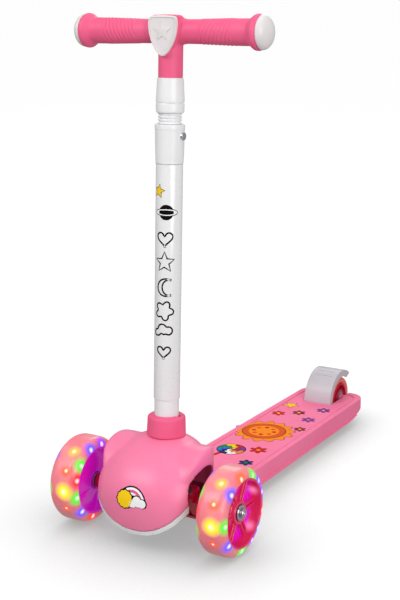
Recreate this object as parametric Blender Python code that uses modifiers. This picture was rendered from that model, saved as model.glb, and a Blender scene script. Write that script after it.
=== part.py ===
"""Three-wheeled kick scooter for small children, with lean steering and light-up wheels.

The origin is under the middle of the scooter on the floor. -Y is the way it rides,
+X is the rider's left-hand side seen from the front, and +Z is up. Metres throughout.
"""
import math

import bmesh
import bpy
from mathutils import Matrix, Vector

# Gaps between pieces
TOUCH_GAP = 0.0003
RUN_GAP = 0.00035
LOOSE_GAP = 0.001
SINK = 0.001  # how far joined shapes reach into each other

# Front wheels
FRONT_WHEEL_RADIUS = 0.060
FRONT_TYRE_WIDTH = 0.044
FRONT_TYRE_THICKNESS = 0.0128
FRONT_TYRE_CORNER = 0.010
FRONT_RIM_DEPTH = 0.0035
TRACK_WIDTH = 0.229
LED_RING_WIDTH = 0.016
LED_RING_DEPTH = 0.0030
DISH_THICKNESS = 0.004
SPOKE_PAIRS = 6
SPOKE_GAP = 0.0030
SPOKE_THICKNESS = 0.0016
SPOKE_HEIGHT = 0.010

# Rear wheel
REAR_WHEEL_RADIUS = 0.036
REAR_TYRE_WIDTH = 0.028
REAR_TYRE_THICKNESS = 0.0105
REAR_TYRE_CORNER = 0.006
REAR_RIM_DEPTH = 0.003
REAR_WEB_HALF = 0.003
WHEELBASE = 0.572

# Bearings and axles
BEARING_OUTER = 0.011
BEARING_BORE = 0.0043
BEARING_WIDTH = 0.007
BEARING_INSET = 0.0065
SPACER_WALL = 0.002
AXLE_RADIUS = 0.004
AXLE_HEAD_RADIUS = 0.0065
AXLE_HEAD_DEPTH = 0.0045
REAR_HEAD_RADIUS = 0.0052
REAR_HEAD_DEPTH = 0.0045
WASHER_RADIUS = 0.0108
WASHER_DEPTH = 0.0015
HUB_WALL = 0.0035
WHEEL_STEPS = 24
SMALL_STEPS = 16
TINY_STEPS = 12

# Deck; its height follows the front wheels, and places along it are measured from the front axle
DECK_BELOW_WHEEL = 0.017
DECK_DEPTH = 0.027
DECK_HALF_WIDTH = 0.058
DECK_TAPER = 0.002
DECK_LIP = 0.002
DECK_LIP_HEIGHT = 0.004
DECK_FRONT_Y = 0.064
DECK_TAIL_LENGTH = 0.013
DECK_WALL = 0.0035
DECK_PLATE = 0.0045
DECK_CORNER = 0.010
DECK_TAIL_CORNER = 0.026
DECK_TAIL_RISE = 0.080
DECK_ROUNDING = 0.0025
PANEL_BORDER = 0.009
PANEL_DEPTH = 0.0005
RIB_THICKNESS = 0.0025
RIB_DEPTH = 0.006
RIB_COUNT = 6
WHEEL_SLOT_SIDE = 0.011
WHEEL_SLOT_FRONT = 0.029
SLOT_WALL = 0.004
BOSS_RADIUS = 0.0062
BOSS_LENGTH = 0.008
TONGUE_HALF_WIDTH = 0.036
TONGUE_FRONT_Y = 0.044
TONGUE_DROP = 0.0077
TAIL_MARGIN = 0.002
TAIL_THICKNESS = 0.006
TAIL_FRONT_Y = 0.030
TAIL_REAR_Y = 0.110
SCREW_INSET = 0.012
SCREW_ROWS = (0.078, 0.100)
SCREW_RADIUS = 0.002
SCREW_HEAD_RADIUS = 0.0038
SCREW_HEAD_DEPTH = 0.0018
SCREW_LENGTH = 0.010

# Front cover and base; heights are measured from the deck's top
COVER_SIDE_GAP = 0.0145
COVER_HALF_DEPTH = 0.062
COVER_CENTRE_Y = 0.002
COVER_WIDEST = 0.019
COVER_CROWN = 0.094
COVER_FLOOR = -0.029
COVER_WALL = 0.003
COVER_SQUARENESS = 2.5
COVER_DOME_POWER = 2.3
COVER_TUCK_HEIGHT = 0.090
EAR_CENTRE_Y = 0.018
EAR_CENTRE = 0.033
EAR_RADIUS = 0.054
EAR_MARGIN = 0.004
EAR_HALF_DEPTH = 0.058
EAR_SHIFT = 0.006
ARCH_CENTRE_Y = 0.008
ARCH_OVER_AXLE = 0.010
ARCH_RADIUS = 0.0385
ARCH_DEPTH = 0.034
SPLIT_RADIUS = 0.082
SPLIT_CENTRE = 0.066
BASE_RADIUS = 0.087
BASE_CENTRE = 0.065

# Lean steering
KINGPIN_DEPTH = 0.018
KINGPIN_TILT = math.radians(35.0)
KINGPIN_RADIUS = 0.004
KINGPIN_HEAD_RADIUS = 0.0068
KINGPIN_HEAD_DEPTH = 0.003
BARREL_RADIUS = 0.010
BARREL_HALF = 0.018
BLOCK_LENGTH = 0.022
BOSS_START = 0.016
AXLE_BOSS_RADIUS = 0.0125
AXLE_BOSS_END_RADIUS = 0.0105
AXLE_BOSS_GAP = 0.0012
BOLT_WALL = 0.003
LUG_THICKNESS = 0.006
LUG_HALF_WIDTH = 0.011
WEB_HALF_DEPTH = 0.009
WEB_HALF_HEIGHT = 0.014
FOOT_MARGIN = 0.019
SEAT_HALF_WIDTH = 0.024
SPRING_SEAT_MARGIN = 0.034
STEER_ARM = 0.030
STEER_ARM_WIDTH = 0.011
STEER_ARM_THICKNESS = 0.006
TIE_ROD_THICKNESS = 0.004
TIE_PIN_RADIUS = 0.002
TIE_PIN_SLACK = 0.0010
TIE_HEAD_DEPTH = 0.0015
SPRING_ARM = 0.018
SPRING_RADIUS = 0.0042
SPRING_WIRE = 0.0006

# Brake; its fender is an arc over the rear wheel
FENDER_GAP = 0.012
FENDER_FORWARD = 0.016
FENDER_RISE = 0.0063
FENDER_THICKNESS = 0.003
FENDER_MARGIN = 0.0015
FENDER_FLANGE = 0.011
FENDER_START_ANGLE = 16.0
FENDER_END_ANGLE = 40.0
BRAKE_PIVOT_ANGLE = math.radians(16.56)
BRAKE_PIVOT_INSET = 0.0094
BRAKE_PIN_RADIUS = 0.0025
BRAKE_EAR_RADIUS = 0.0055
BRAKE_SPRING_LENGTH = 0.018
BRAKE_SPRING_WIRE = 0.0007

# Stem; lengths run along its own leaning axis
STEM_BASE_Y = 0.0287
STEM_OVER_DECK = 0.087
STEM_LEAN = math.radians(1.89)
TUBE_RADIUS = 0.0175
TUBE_WALL = 0.0018
TUBE_LOW = 0.055
TUBE_LENGTH = 0.312
NECK_WALL = 0.0099
NECK_TAPER = 0.001
NECK_SHOULDER = 0.0049
NECK_HEIGHT = 0.029
NECK_CONE = 0.0035
NECK_SPIGOT_DEPTH = 0.0315
NECK_FOOT = 0.0045
NECK_FLOOR = 0.005
NECK_SLOT_HALF = 0.0028
NECK_SLOT_DEPTH = 0.007
INSERT_STEP = 0.001
INSERT_SPIGOT = 0.035
COLLAR_LENGTH = 0.0505
COLLAR_SPIGOT = 0.027
COLLAR_RIM = 0.010
BUSH_LENGTH = 0.014
BUSH_GROOVES = 3
BUSH_GROOVE_DEPTH = 0.001
INNER_STEP = 0.003
INNER_WALL = 0.0015
INNER_CLEARANCE = 0.030
SLEEVE_LENGTH = 0.0442
SLEEVE_TAPER_LENGTH = 0.0267
SLEEVE_SEAM = 0.0006
BUTTON_RADIUS = 0.0053
BUTTON_NOSE_RADIUS = 0.0022
BUTTON_BELOW_RIM = 0.0145
BUTTON_PROUD = 0.0022
BUTTON_TRAVEL = 0.0035
BUTTON_FLOOR = 0.0015
BUTTON_SPRING_WIRE = 0.0004
RELEASE_RADIUS = 0.0045
RELEASE_HEIGHT = 0.016
RELEASE_PROUD = 0.003
RELEASE_DEPTH = 0.0035
RELEASE_POCKET_DEPTH = 0.0095
HANDLE_TRAVEL = 0.160
KEYWAY_END = 0.006

# Handlebar
TEE_LENGTH = 0.0574
TEE_TOP = 0.0215
BAR_RADIUS = 0.0153
BAR_CORE_RADIUS = 0.0110
GRIP_START = 0.030
GRIP_LENGTH = 0.099
GRIP_TAPER = 0.012
GRIP_RADIUS = 0.0172
FLANGE_RADIUS = 0.0221
FLANGE_WIDTH = 0.005
CAP_RADIUS = 0.0212
CAP_DEPTH = 0.0135
PAD_HALF_WIDTH = 0.0185
PAD_LOW = 0.020
PAD_HIGH = 0.018
PAD_PROUD = 0.002
PAD_BACK = 0.0031
SHIELD_HALF_WIDTH = 0.021
SHIELD_TOP = 0.0195
SHIELD_TIP = 0.0330
SHIELD_WAIST = 0.010
SHIELD_THICKNESS = 0.003

# Places and sizes that follow from the ones above
FRONT_AXLE_Z = FRONT_WHEEL_RADIUS * math.cos(math.pi / WHEEL_STEPS)
REAR_AXLE_Z = REAR_WHEEL_RADIUS * math.cos(math.pi / WHEEL_STEPS)
FRONT_AXLE_Y = -(WHEELBASE + REAR_WHEEL_RADIUS - FRONT_WHEEL_RADIUS) / 2
REAR_AXLE_Y = FRONT_AXLE_Y + WHEELBASE
WHEEL_X = TRACK_WIDTH / 2
FRONT_RIM_RADIUS = FRONT_WHEEL_RADIUS - FRONT_TYRE_THICKNESS
REAR_RIM_RADIUS = REAR_WHEEL_RADIUS - REAR_TYRE_THICKNESS
DECK_TOP_Z = FRONT_WHEEL_RADIUS - DECK_BELOW_WHEEL
DECK_BOTTOM_Z = DECK_TOP_Z - DECK_DEPTH
DECK_REAR_HALF_WIDTH = DECK_HALF_WIDTH - DECK_TAPER
DECK_REAR_Y = WHEELBASE + DECK_TAIL_LENGTH
SLOT_HALF_WIDTH = REAR_TYRE_WIDTH / 2 + WHEEL_SLOT_SIDE
SLOT_FRONT_Y = WHEELBASE - REAR_WHEEL_RADIUS - WHEEL_SLOT_FRONT
TONGUE_BOTTOM_Z = DECK_TOP_Z - TONGUE_DROP
TAIL_HALF_WIDTH = TONGUE_HALF_WIDTH - TAIL_MARGIN
COVER_HALF_WIDTH = WHEEL_X - FRONT_TYRE_WIDTH / 2 - COVER_SIDE_GAP
COVER_WIDEST_Z = DECK_TOP_Z + COVER_WIDEST
COVER_TOP_Z = DECK_TOP_Z + COVER_CROWN
COVER_FLOOR_Z = DECK_TOP_Z + COVER_FLOOR
EAR_HALF_WIDTH = COVER_HALF_WIDTH - EAR_MARGIN
EAR_CENTRE_Z = DECK_TOP_Z + EAR_CENTRE
ARCH_CENTRE_Z = FRONT_WHEEL_RADIUS + ARCH_OVER_AXLE
ARCH_INNER_X = COVER_HALF_WIDTH - ARCH_DEPTH
SPLIT_CENTRE_Z = DECK_TOP_Z + SPLIT_CENTRE
BASE_CENTRE_Z = DECK_TOP_Z + BASE_CENTRE
KINGPIN_X = COVER_HALF_WIDTH - KINGPIN_DEPTH
FENDER_RADIUS = REAR_WHEEL_RADIUS + FENDER_GAP
FENDER_HALF_WIDTH = SLOT_HALF_WIDTH - FENDER_MARGIN
FENDER_CENTRE_Y = WHEELBASE - FENDER_FORWARD
FENDER_CENTRE_Z = REAR_AXLE_Z + FENDER_RISE
BRAKE_PIVOT_REACH = FENDER_RADIUS - BRAKE_PIVOT_INSET
BRAKE_PIVOT_Y = FENDER_CENTRE_Y - BRAKE_PIVOT_REACH * math.cos(BRAKE_PIVOT_ANGLE)
BRAKE_PIVOT_Z = FENDER_CENTRE_Z - BRAKE_PIVOT_REACH * math.sin(BRAKE_PIVOT_ANGLE)
STEM_BASE_Z = DECK_TOP_Z + STEM_OVER_DECK
TUBE_HIGH = TUBE_LOW + TUBE_LENGTH
INSERT_RADIUS = TUBE_RADIUS - INSERT_STEP
NECK_RADIUS = INSERT_RADIUS + NECK_WALL
NECK_TOP_RADIUS = NECK_RADIUS - NECK_TAPER
NECK_SPIGOT_RADIUS = NECK_RADIUS - NECK_SHOULDER
COLLAR_LOW_RADIUS = TUBE_RADIUS + 0.0006
COLLAR_HIGH_RADIUS = TUBE_RADIUS + 0.0020
COLLAR_HIGH = TUBE_HIGH + COLLAR_LENGTH
BUSH_RADIUS = TUBE_RADIUS - 0.0020
BUSH_HIGH = COLLAR_HIGH + BUSH_LENGTH
INNER_RADIUS = TUBE_RADIUS - TUBE_WALL - INNER_STEP
INNER_LOW = TUBE_LOW + INSERT_SPIGOT + INNER_CLEARANCE
SLEEVE_LOW_RADIUS = TUBE_RADIUS + 0.0008
SLEEVE_HIGH_RADIUS = TUBE_RADIUS - 0.0007
SLEEVE_HIGH = BUSH_HIGH + SLEEVE_LENGTH
SLEEVE_STEP = SLEEVE_HIGH - SLEEVE_TAPER_LENGTH
BUTTON_HEIGHT = COLLAR_HIGH - BUTTON_BELOW_RIM
RELEASE_INNER_END = INSERT_RADIUS - RELEASE_DEPTH
RELEASE_POCKET = INSERT_RADIUS - RELEASE_POCKET_DEPTH
TEE_RADIUS = TUBE_RADIUS - 0.0017
BAR_HEIGHT = SLEEVE_HIGH + TEE_LENGTH
GRIP_END = GRIP_START + GRIP_LENGTH
PAD_FRONT = TEE_RADIUS + PAD_PROUD

PINK = (0.95, 0.42, 0.58, 1.0)
DEEP_PINK = (0.90, 0.27, 0.45, 1.0)
CRIMSON = (0.70, 0.05, 0.16, 1.0)
MAGENTA = (0.83, 0.08, 0.45, 1.0)
PEACH = (0.95, 0.55, 0.55, 1.0)
WHITE = (0.90, 0.90, 0.91, 1.0)
GREY = (0.60, 0.61, 0.64, 1.0)
STEEL = (0.75, 0.75, 0.76, 1.0)

parts = None
cutters = None


# ---------------------------------------------------------------- helpers

def clear_scene():
    for item in list(bpy.data.objects):
        bpy.data.objects.remove(item, do_unlink=True)


def new_collection(name):
    collection = bpy.data.collections.new(name)
    bpy.context.scene.collection.children.link(collection)
    return collection


def material(name, colour, roughness=0.4, metallic=0.0):
    made = bpy.data.materials.new(name)
    made.use_nodes = True
    shader = made.node_tree.nodes["Principled BSDF"]
    shader.inputs["Base Color"].default_value = colour
    shader.inputs["Roughness"].default_value = roughness
    shader.inputs["Metallic"].default_value = metallic
    return made


def add_part(name, mesh, colour, roughness=0.4, metallic=0.0):
    """Link a mesh as one named sub-part with its own material."""
    item = bpy.data.objects.new(name, mesh)
    mesh.materials.clear()
    mesh.materials.append(material(name, colour, roughness, metallic))
    parts.objects.link(item)
    return item


def add_cutter(name, mesh):
    item = bpy.data.objects.new(name, mesh)
    item.hide_render = True
    item.display_type = "WIRE"
    cutters.objects.link(item)
    return item


def mesh_from(bm, name):
    mesh = bpy.data.meshes.new(name)
    bmesh.ops.recalc_face_normals(bm, faces=bm.faces)
    bm.to_mesh(mesh)
    bm.free()
    return mesh


def box_mesh(name, low, high):
    """A box between two corners."""
    low = Vector(low)
    high = Vector(high)
    bm = bmesh.new()
    bmesh.ops.create_cube(bm, size=1.0)
    bmesh.ops.scale(bm, vec=high - low, verts=bm.verts)
    bmesh.ops.translate(bm, vec=(low + high) / 2, verts=bm.verts)
    return mesh_from(bm, name)


def rod_mesh(name, radius, start, end, steps=SMALL_STEPS, end_radius=None):
    """A cylinder or cone from start to end."""
    start = Vector(start)
    end = Vector(end)
    along = end - start
    bm = bmesh.new()
    top = radius if end_radius is None else end_radius
    bmesh.ops.create_cone(bm, cap_ends=True, segments=steps, radius1=radius, radius2=top,
                          depth=along.length)
    turn = along.to_track_quat("Z", "Y").to_matrix().to_4x4()
    bmesh.ops.transform(bm, matrix=Matrix.Translation((start + end) / 2) @ turn, verts=bm.verts)
    return mesh_from(bm, name)


def profile_area(profile):
    total = 0.0
    for (r0, z0), (r1, z1) in zip(profile, profile[1:] + profile[:1]):
        total += r0 * z1 - r1 * z0
    return total / 2


def lathe_mesh(name, profile, steps=WHEEL_STEPS, phase=0.0):
    """Turn a closed outline of (radius, height) points about Z with a Screw modifier."""
    if profile_area(profile) > 0:
        profile = profile[::-1]
    ring = bpy.data.meshes.new(name)
    corners = [(r * math.cos(phase), r * math.sin(phase), z) for r, z in profile]
    count = len(corners)
    edges = [(i, (i + 1) % count) for i in range(count) if not on_axis(profile, i)]
    ring.from_pydata(corners, edges, [])
    item = bpy.data.objects.new(name, ring)
    cutters.objects.link(item)
    screw = item.modifiers.new("Turn", "SCREW")
    screw.steps = steps
    screw.render_steps = steps
    screw.use_merge_vertices = True
    screw.merge_threshold = 0.00001
    return settle(item)


def on_axis(profile, index):
    following = profile[(index + 1) % len(profile)]
    return profile[index][0] == 0.0 and following[0] == 0.0


def settle(item):
    """Bake an object's modifiers into a plain mesh and remove the object."""
    bpy.context.view_layer.update()
    graph = bpy.context.evaluated_depsgraph_get()
    mesh = bpy.data.meshes.new_from_object(item.evaluated_get(graph))
    mesh.name = item.name
    bpy.data.objects.remove(item, do_unlink=True)
    return mesh


def ring_profile(outer, inner, low, high):
    return [(outer, high), (outer, low), (inner, low), (inner, high)]


def outline_mesh(name, points, low, high):
    """Extrude a flat closed outline of (x, y) points from low to high along Z."""
    curve = bpy.data.curves.new(name, "CURVE")
    curve.dimensions = "2D"
    curve.fill_mode = "BOTH"
    curve.extrude = (high - low) / 2
    spline = curve.splines.new("POLY")
    spline.points.add(len(points) - 1)
    for point, (x, y) in zip(spline.points, points):
        point.co = (x, y, 0.0, 1.0)
    spline.use_cyclic_u = True
    item = bpy.data.objects.new(name, curve)
    cutters.objects.link(item)
    mesh = settle(item)
    bm = bmesh.new()
    bm.from_mesh(mesh)
    bmesh.ops.remove_doubles(bm, verts=bm.verts, dist=0.00001)
    bmesh.ops.dissolve_limit(bm, angle_limit=math.radians(0.5), verts=bm.verts, edges=bm.edges)
    bmesh.ops.translate(bm, vec=(0, 0, (low + high) / 2), verts=bm.verts)
    bpy.data.meshes.remove(mesh)
    return mesh_from(bm, name)


def arc(centre, radius, start, end, steps):
    """Points on a circle between two angles in degrees."""
    turns = [math.radians(start + (end - start) * i / steps) for i in range(steps + 1)]
    return [(centre[0] + radius * math.cos(t), centre[1] + radius * math.sin(t)) for t in turns]


def moved(mesh, matrix):
    mesh.transform(matrix)
    if matrix.determinant() < 0:
        mesh.flip_normals()
    return mesh


def shape(item, operation, meshes):
    """Join or cut an object with meshes, one Boolean modifier each, and bake the result."""
    bpy.context.view_layer.update()
    for number, mesh in enumerate(meshes):
        cutter = add_cutter(f"{item.name}_{operation.lower()}_{number}", mesh)
        cutter.matrix_world = item.matrix_world
        step = item.modifiers.new(cutter.name, "BOOLEAN")
        step.operation = operation
        step.object = cutter
    bpy.context.view_layer.update()
    graph = bpy.context.evaluated_depsgraph_get()
    result = bpy.data.meshes.new_from_object(item.evaluated_get(graph))
    for step in list(item.modifiers):
        bpy.data.objects.remove(step.object, do_unlink=True)
    item.modifiers.clear()
    old = item.data
    item.data = result
    result.name = item.name
    if old.users == 0:
        bpy.data.meshes.remove(old)
    return item


def soften(item, angle=35.0):
    """Smooth shading with sharp edges kept."""
    item.data.shade_smooth()
    item.data.set_sharp_from_angle(angle=math.radians(angle))


def rounded(mesh, width=DECK_ROUNDING, segments=2, angle=40.0):
    """The same mesh with its sharp edges rounded by a Bevel modifier."""
    item = bpy.data.objects.new(mesh.name, mesh)
    cutters.objects.link(item)
    bevel = item.modifiers.new("Rounded edges", "BEVEL")
    bevel.width = width
    bevel.segments = segments
    bevel.limit_method = "ANGLE"
    bevel.angle_limit = math.radians(angle)
    return settle(item)


def place(item, position, parent=None):
    item.location = position
    if parent is not None:
        item.parent = parent
    return item


def empty(name, position, tilt=0.0):
    """A plain axes empty, turned about X."""
    item = bpy.data.objects.new(name, None)
    item.location = position
    item.rotation_euler.x = tilt
    item.empty_display_size = 0.02
    cutters.objects.link(item)
    return item


def coil_mesh(name, radius, wire, turns, length, per_turn=8):
    """A coil spring along +X from the origin."""
    curve = bpy.data.curves.new(name, "CURVE")
    curve.dimensions = "3D"
    curve.bevel_depth = wire
    curve.bevel_resolution = 2
    curve.use_fill_caps = True
    count = turns * per_turn + 1
    spline = curve.splines.new("POLY")
    spline.points.add(count - 1)
    for i, point in enumerate(spline.points):
        turn = math.tau * i / per_turn
        x = length * i / (count - 1)
        point.co = (x, radius * math.cos(turn), radius * math.sin(turn), 1.0)
    item = bpy.data.objects.new(name, curve)
    cutters.objects.link(item)
    mesh = settle(item)
    bm = bmesh.new()
    bm.from_mesh(mesh)
    bmesh.ops.remove_doubles(bm, verts=bm.verts, dist=0.00001)
    bpy.data.meshes.remove(mesh)
    return mesh_from(bm, name)


TO_X = Matrix.Rotation(math.radians(90), 4, "Y")


# ---------------------------------------------------------------- wheels

def tyre_profile(radius, inner, width, corner, groove=None):
    """Tyre section with rounded shoulders and an optional groove in its bore."""
    half = width / 2
    top = arc((radius - corner, half - corner), corner, 90, 0, 2)
    low = arc((radius - corner, -half + corner), corner, 0, -90, 2)
    bore = [(inner, -half), (inner, half)]
    if groove:
        wide, deep = groove
        bore = [(inner, -half), (inner, -wide / 2), (inner + deep, -wide / 2),
                (inner + deep, wide / 2), (inner, wide / 2), (inner, half)]
    return top + low + bore


def front_rim_profile():
    """Rim section: barrel, sloping dish, and a hub tube set in from the outer face."""
    half = FRONT_TYRE_WIDTH / 2 - TOUCH_GAP
    barrel = FRONT_RIM_RADIUS
    inside = barrel - FRONT_RIM_DEPTH
    bore = BEARING_OUTER + TOUCH_GAP
    hub = bore + HUB_WALL
    outer_face = half - BEARING_INSET
    inner_face = -half
    dish = DISH_THICKNESS
    return [(barrel, half), (barrel, -half), (inside, -half), (inside, 0.0025 - dish),
            (hub, 0.008 - dish), (hub, inner_face), (bore, inner_face), (bore, outer_face),
            (hub, outer_face), (hub, 0.008), (inside, 0.0025), (inside, half)]


def add_spokes(rim):
    """Pairs of ribs that slope from the barrel to the hub on the outer side of the dish."""
    start = BEARING_OUTER + HUB_WALL / 2
    length = FRONT_RIM_RADIUS - FRONT_RIM_DEPTH / 2 - start
    middle = SPOKE_HEIGHT / 2 + 0.0025
    ribs = bmesh.new()
    for pair in range(SPOKE_PAIRS):
        for side in (-1, 1):
            made = bmesh.ops.create_cube(ribs, size=1.0)["verts"]
            bmesh.ops.scale(ribs, vec=(length, SPOKE_THICKNESS, SPOKE_HEIGHT), verts=made)
            bmesh.ops.translate(ribs, vec=(start + length / 2, side * SPOKE_GAP, middle), verts=made)
            turn = Matrix.Rotation(math.tau * (pair + 0.5) / SPOKE_PAIRS, 4, "Z")
            bmesh.ops.transform(ribs, matrix=turn, verts=made)
    shape(rim, "UNION", [mesh_from(ribs, "ribs")])


def front_wheel(side, label):
    """One front wheel; side is +1 for +X."""
    spin = math.pi / WHEEL_STEPS
    face = Matrix.Diagonal((side, 1, 1, 1)) @ TO_X
    centre = (side * WHEEL_X, FRONT_AXLE_Y, FRONT_AXLE_Z)
    groove = (LED_RING_WIDTH + 2 * TOUCH_GAP, LED_RING_DEPTH + TOUCH_GAP)
    inner = FRONT_RIM_RADIUS + TOUCH_GAP
    tyre = lathe_mesh("tyre", tyre_profile(FRONT_WHEEL_RADIUS, inner, FRONT_TYRE_WIDTH,
                                           FRONT_TYRE_CORNER, groove), phase=spin)
    item = place(add_part(f"front_tyre_{label}", moved(tyre, face), PEACH, 0.3), centre)
    soften(item)
    half = LED_RING_WIDTH / 2
    ring = ring_profile(inner + LED_RING_DEPTH - TOUCH_GAP, inner, -half, half)
    item = add_part(f"led_ring_{label}", moved(lathe_mesh("led", ring, phase=spin), face), WHITE, 0.5)
    soften(place(item, centre))
    rim = add_part(f"front_rim_{label}", lathe_mesh("rim", front_rim_profile(), phase=spin), MAGENTA, 0.3)
    add_spokes(rim)
    moved(rim.data, face)
    soften(place(rim, centre))
    outer_face = FRONT_TYRE_WIDTH / 2 - TOUCH_GAP - BEARING_INSET
    inner_face = -FRONT_TYRE_WIDTH / 2 + TOUCH_GAP
    outer_low = outer_face - BEARING_WIDTH
    inner_high = inner_face + BEARING_WIDTH
    for which, low, high in (("outer", outer_low, outer_face), ("inner", inner_face, inner_high)):
        race = lathe_mesh("bearing", ring_profile(BEARING_OUTER, BEARING_BORE, low, high), SMALL_STEPS)
        item = add_part(f"bearing_{which}_{label}", moved(race, face), STEEL, 0.3, 1.0)
        soften(place(item, centre))
    tube = ring_profile(BEARING_BORE + SPACER_WALL, BEARING_BORE, inner_high + TOUCH_GAP,
                        outer_low - TOUCH_GAP)
    spacer = moved(lathe_mesh("spacer", tube, SMALL_STEPS), face)
    item = add_part(f"wheel_spacer_{label}", spacer, STEEL, 0.4, 1.0)
    soften(place(item, centre))


def front_axle(side, label):
    """Axle bolt with a chrome washer under its head, screwed into the knuckle."""
    wheel = side * WHEEL_X
    seat = FRONT_TYRE_WIDTH / 2 - BEARING_INSET
    washer = ring_profile(WASHER_RADIUS, AXLE_RADIUS + TOUCH_GAP, seat, seat + WASHER_DEPTH)
    face = Matrix.Diagonal((side, 1, 1, 1)) @ TO_X
    centre = (wheel, FRONT_AXLE_Y, FRONT_AXLE_Z)
    item = add_part(f"hub_washer_{label}", moved(lathe_mesh("washer", washer), face), STEEL, 0.2, 1.0)
    soften(place(item, centre))
    head = seat + WASHER_DEPTH + TOUCH_GAP
    tip = -(WHEEL_X - KINGPIN_X - BARREL_RADIUS - BOLT_WALL)
    bolt = [(0.0, head + AXLE_HEAD_DEPTH), (AXLE_HEAD_RADIUS * 0.8, head + AXLE_HEAD_DEPTH),
            (AXLE_HEAD_RADIUS, head + AXLE_HEAD_DEPTH * 0.7), (AXLE_HEAD_RADIUS, head),
            (AXLE_RADIUS, head), (AXLE_RADIUS, tip), (0.0, tip)]
    bolt = moved(lathe_mesh("bolt", bolt, SMALL_STEPS), face)
    item = add_part(f"front_axle_{label}", bolt, STEEL, 0.2, 1.0)
    soften(place(item, centre))


def rear_wheel():
    spin = math.pi / WHEEL_STEPS
    centre = (0.0, REAR_AXLE_Y, REAR_AXLE_Z)
    inner = REAR_RIM_RADIUS + TOUCH_GAP
    tyre = tyre_profile(REAR_WHEEL_RADIUS, inner, REAR_TYRE_WIDTH, REAR_TYRE_CORNER)
    item = add_part("rear_tyre", moved(lathe_mesh("tyre", tyre, phase=spin), TO_X), PEACH, 0.35)
    soften(place(item, centre))
    half = REAR_TYRE_WIDTH / 2 - TOUCH_GAP
    bore = BEARING_OUTER + TOUCH_GAP
    hub = bore + HUB_WALL
    inside = REAR_RIM_RADIUS - REAR_RIM_DEPTH
    web = REAR_WEB_HALF
    rim = [(REAR_RIM_RADIUS, half), (REAR_RIM_RADIUS, -half), (inside, -half), (inside, -web),
           (hub, -web), (hub, -half), (bore, -half), (bore, half), (hub, half), (hub, web),
           (inside, web), (inside, half)]
    item = add_part("rear_rim", moved(lathe_mesh("rim", rim, phase=spin), TO_X), CRIMSON, 0.35)
    soften(place(item, centre))
    for label, low in (("left", half - BEARING_WIDTH), ("right", -half)):
        race = ring_profile(BEARING_OUTER, BEARING_BORE, low, low + BEARING_WIDTH)
        race = lathe_mesh("bearing", race, SMALL_STEPS)
        item = add_part(f"rear_bearing_{label}", moved(race, TO_X), STEEL, 0.3, 1.0)
        soften(place(item, centre))
    reach = half - BEARING_WIDTH - TOUCH_GAP
    tube = ring_profile(BEARING_BORE + SPACER_WALL, BEARING_BORE, -reach, reach)
    item = add_part("rear_spacer", moved(lathe_mesh("spacer", tube, SMALL_STEPS), TO_X), STEEL, 0.4, 1.0)
    soften(place(item, centre))


def rear_axle():
    centre = (0.0, REAR_AXLE_Y, REAR_AXLE_Z)
    seat = SLOT_HALF_WIDTH + BOSS_LENGTH + TOUCH_GAP
    top = seat + REAR_HEAD_DEPTH
    tip = top + LOOSE_GAP
    bolt = [(0.0, top), (REAR_HEAD_RADIUS, top), (REAR_HEAD_RADIUS, seat), (AXLE_RADIUS, seat),
            (AXLE_RADIUS, -tip), (0.0, -tip)]
    item = add_part("rear_axle", moved(lathe_mesh("bolt", bolt, SMALL_STEPS), TO_X), STEEL, 0.3, 1.0)
    soften(place(item, centre))
    nut = ring_profile(REAR_HEAD_RADIUS, AXLE_RADIUS + TOUCH_GAP, -top, -seat)
    item = add_part("rear_axle_nut", moved(lathe_mesh("nut", nut, SMALL_STEPS), TO_X), STEEL, 0.3, 1.0)
    soften(place(item, centre))


# ---------------------------------------------------------------- cover and base

def cover_section(z, inset=0.0):
    """Half width, half depth and centre of the front cover's outline at one height."""
    if z >= COVER_WIDEST_Z:
        rise = (z - COVER_WIDEST_Z) / (COVER_TOP_Z - inset - COVER_WIDEST_Z)
        rise = min(rise, 0.9999)
        share = (1 - rise ** COVER_DOME_POWER) ** (1 / COVER_DOME_POWER)
        shift = (STEM_BASE_Y - COVER_CENTRE_Y) * rise ** 2
    else:
        share = math.sqrt(1 - ((COVER_WIDEST_Z - z) / COVER_TUCK_HEIGHT) ** 2)
        shift = 0.0
    half_width = (COVER_HALF_WIDTH - inset) * share
    half_depth = (COVER_HALF_DEPTH - inset) * share
    return half_width, half_depth, COVER_CENTRE_Y + shift


def rounded_oval(half_x, half_y, centre_y, steps):
    """Superellipse points, starting at +X."""
    power = 2 / COVER_SQUARENESS
    points = []
    for i in range(steps):
        turn = math.tau * i / steps
        c = math.cos(turn)
        s = math.sin(turn)
        x = half_x * math.copysign(abs(c) ** power, c)
        y = half_y * math.copysign(abs(s) ** power, s)
        points.append((x, centre_y + y))
    return points


def dome_mesh(name, inset=0.0, rows=9, steps=32):
    """Loft the cover's outlines from its floor up to its crown."""
    low = COVER_FLOOR_Z
    crown = COVER_TOP_Z - inset
    heights = [low, (low + COVER_WIDEST_Z) / 2, COVER_WIDEST_Z]
    for i in range(1, rows):
        heights.append(COVER_WIDEST_Z + (crown - COVER_WIDEST_Z) * math.sin(math.pi / 2 * i / rows))
    bm = bmesh.new()
    loops = []
    for z in heights:
        ring = rounded_oval(*cover_section(z, inset), steps)
        loops.append([bm.verts.new((x, y, z)) for x, y in ring])
    for lower, upper in zip(loops, loops[1:]):
        for i in range(steps):
            j = (i + 1) % steps
            bm.faces.new((lower[i], lower[j], upper[j], upper[i]))
    bm.faces.new(loops[0][::-1])
    bm.faces.new(loops[-1])
    return mesh_from(bm, name)


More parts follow.
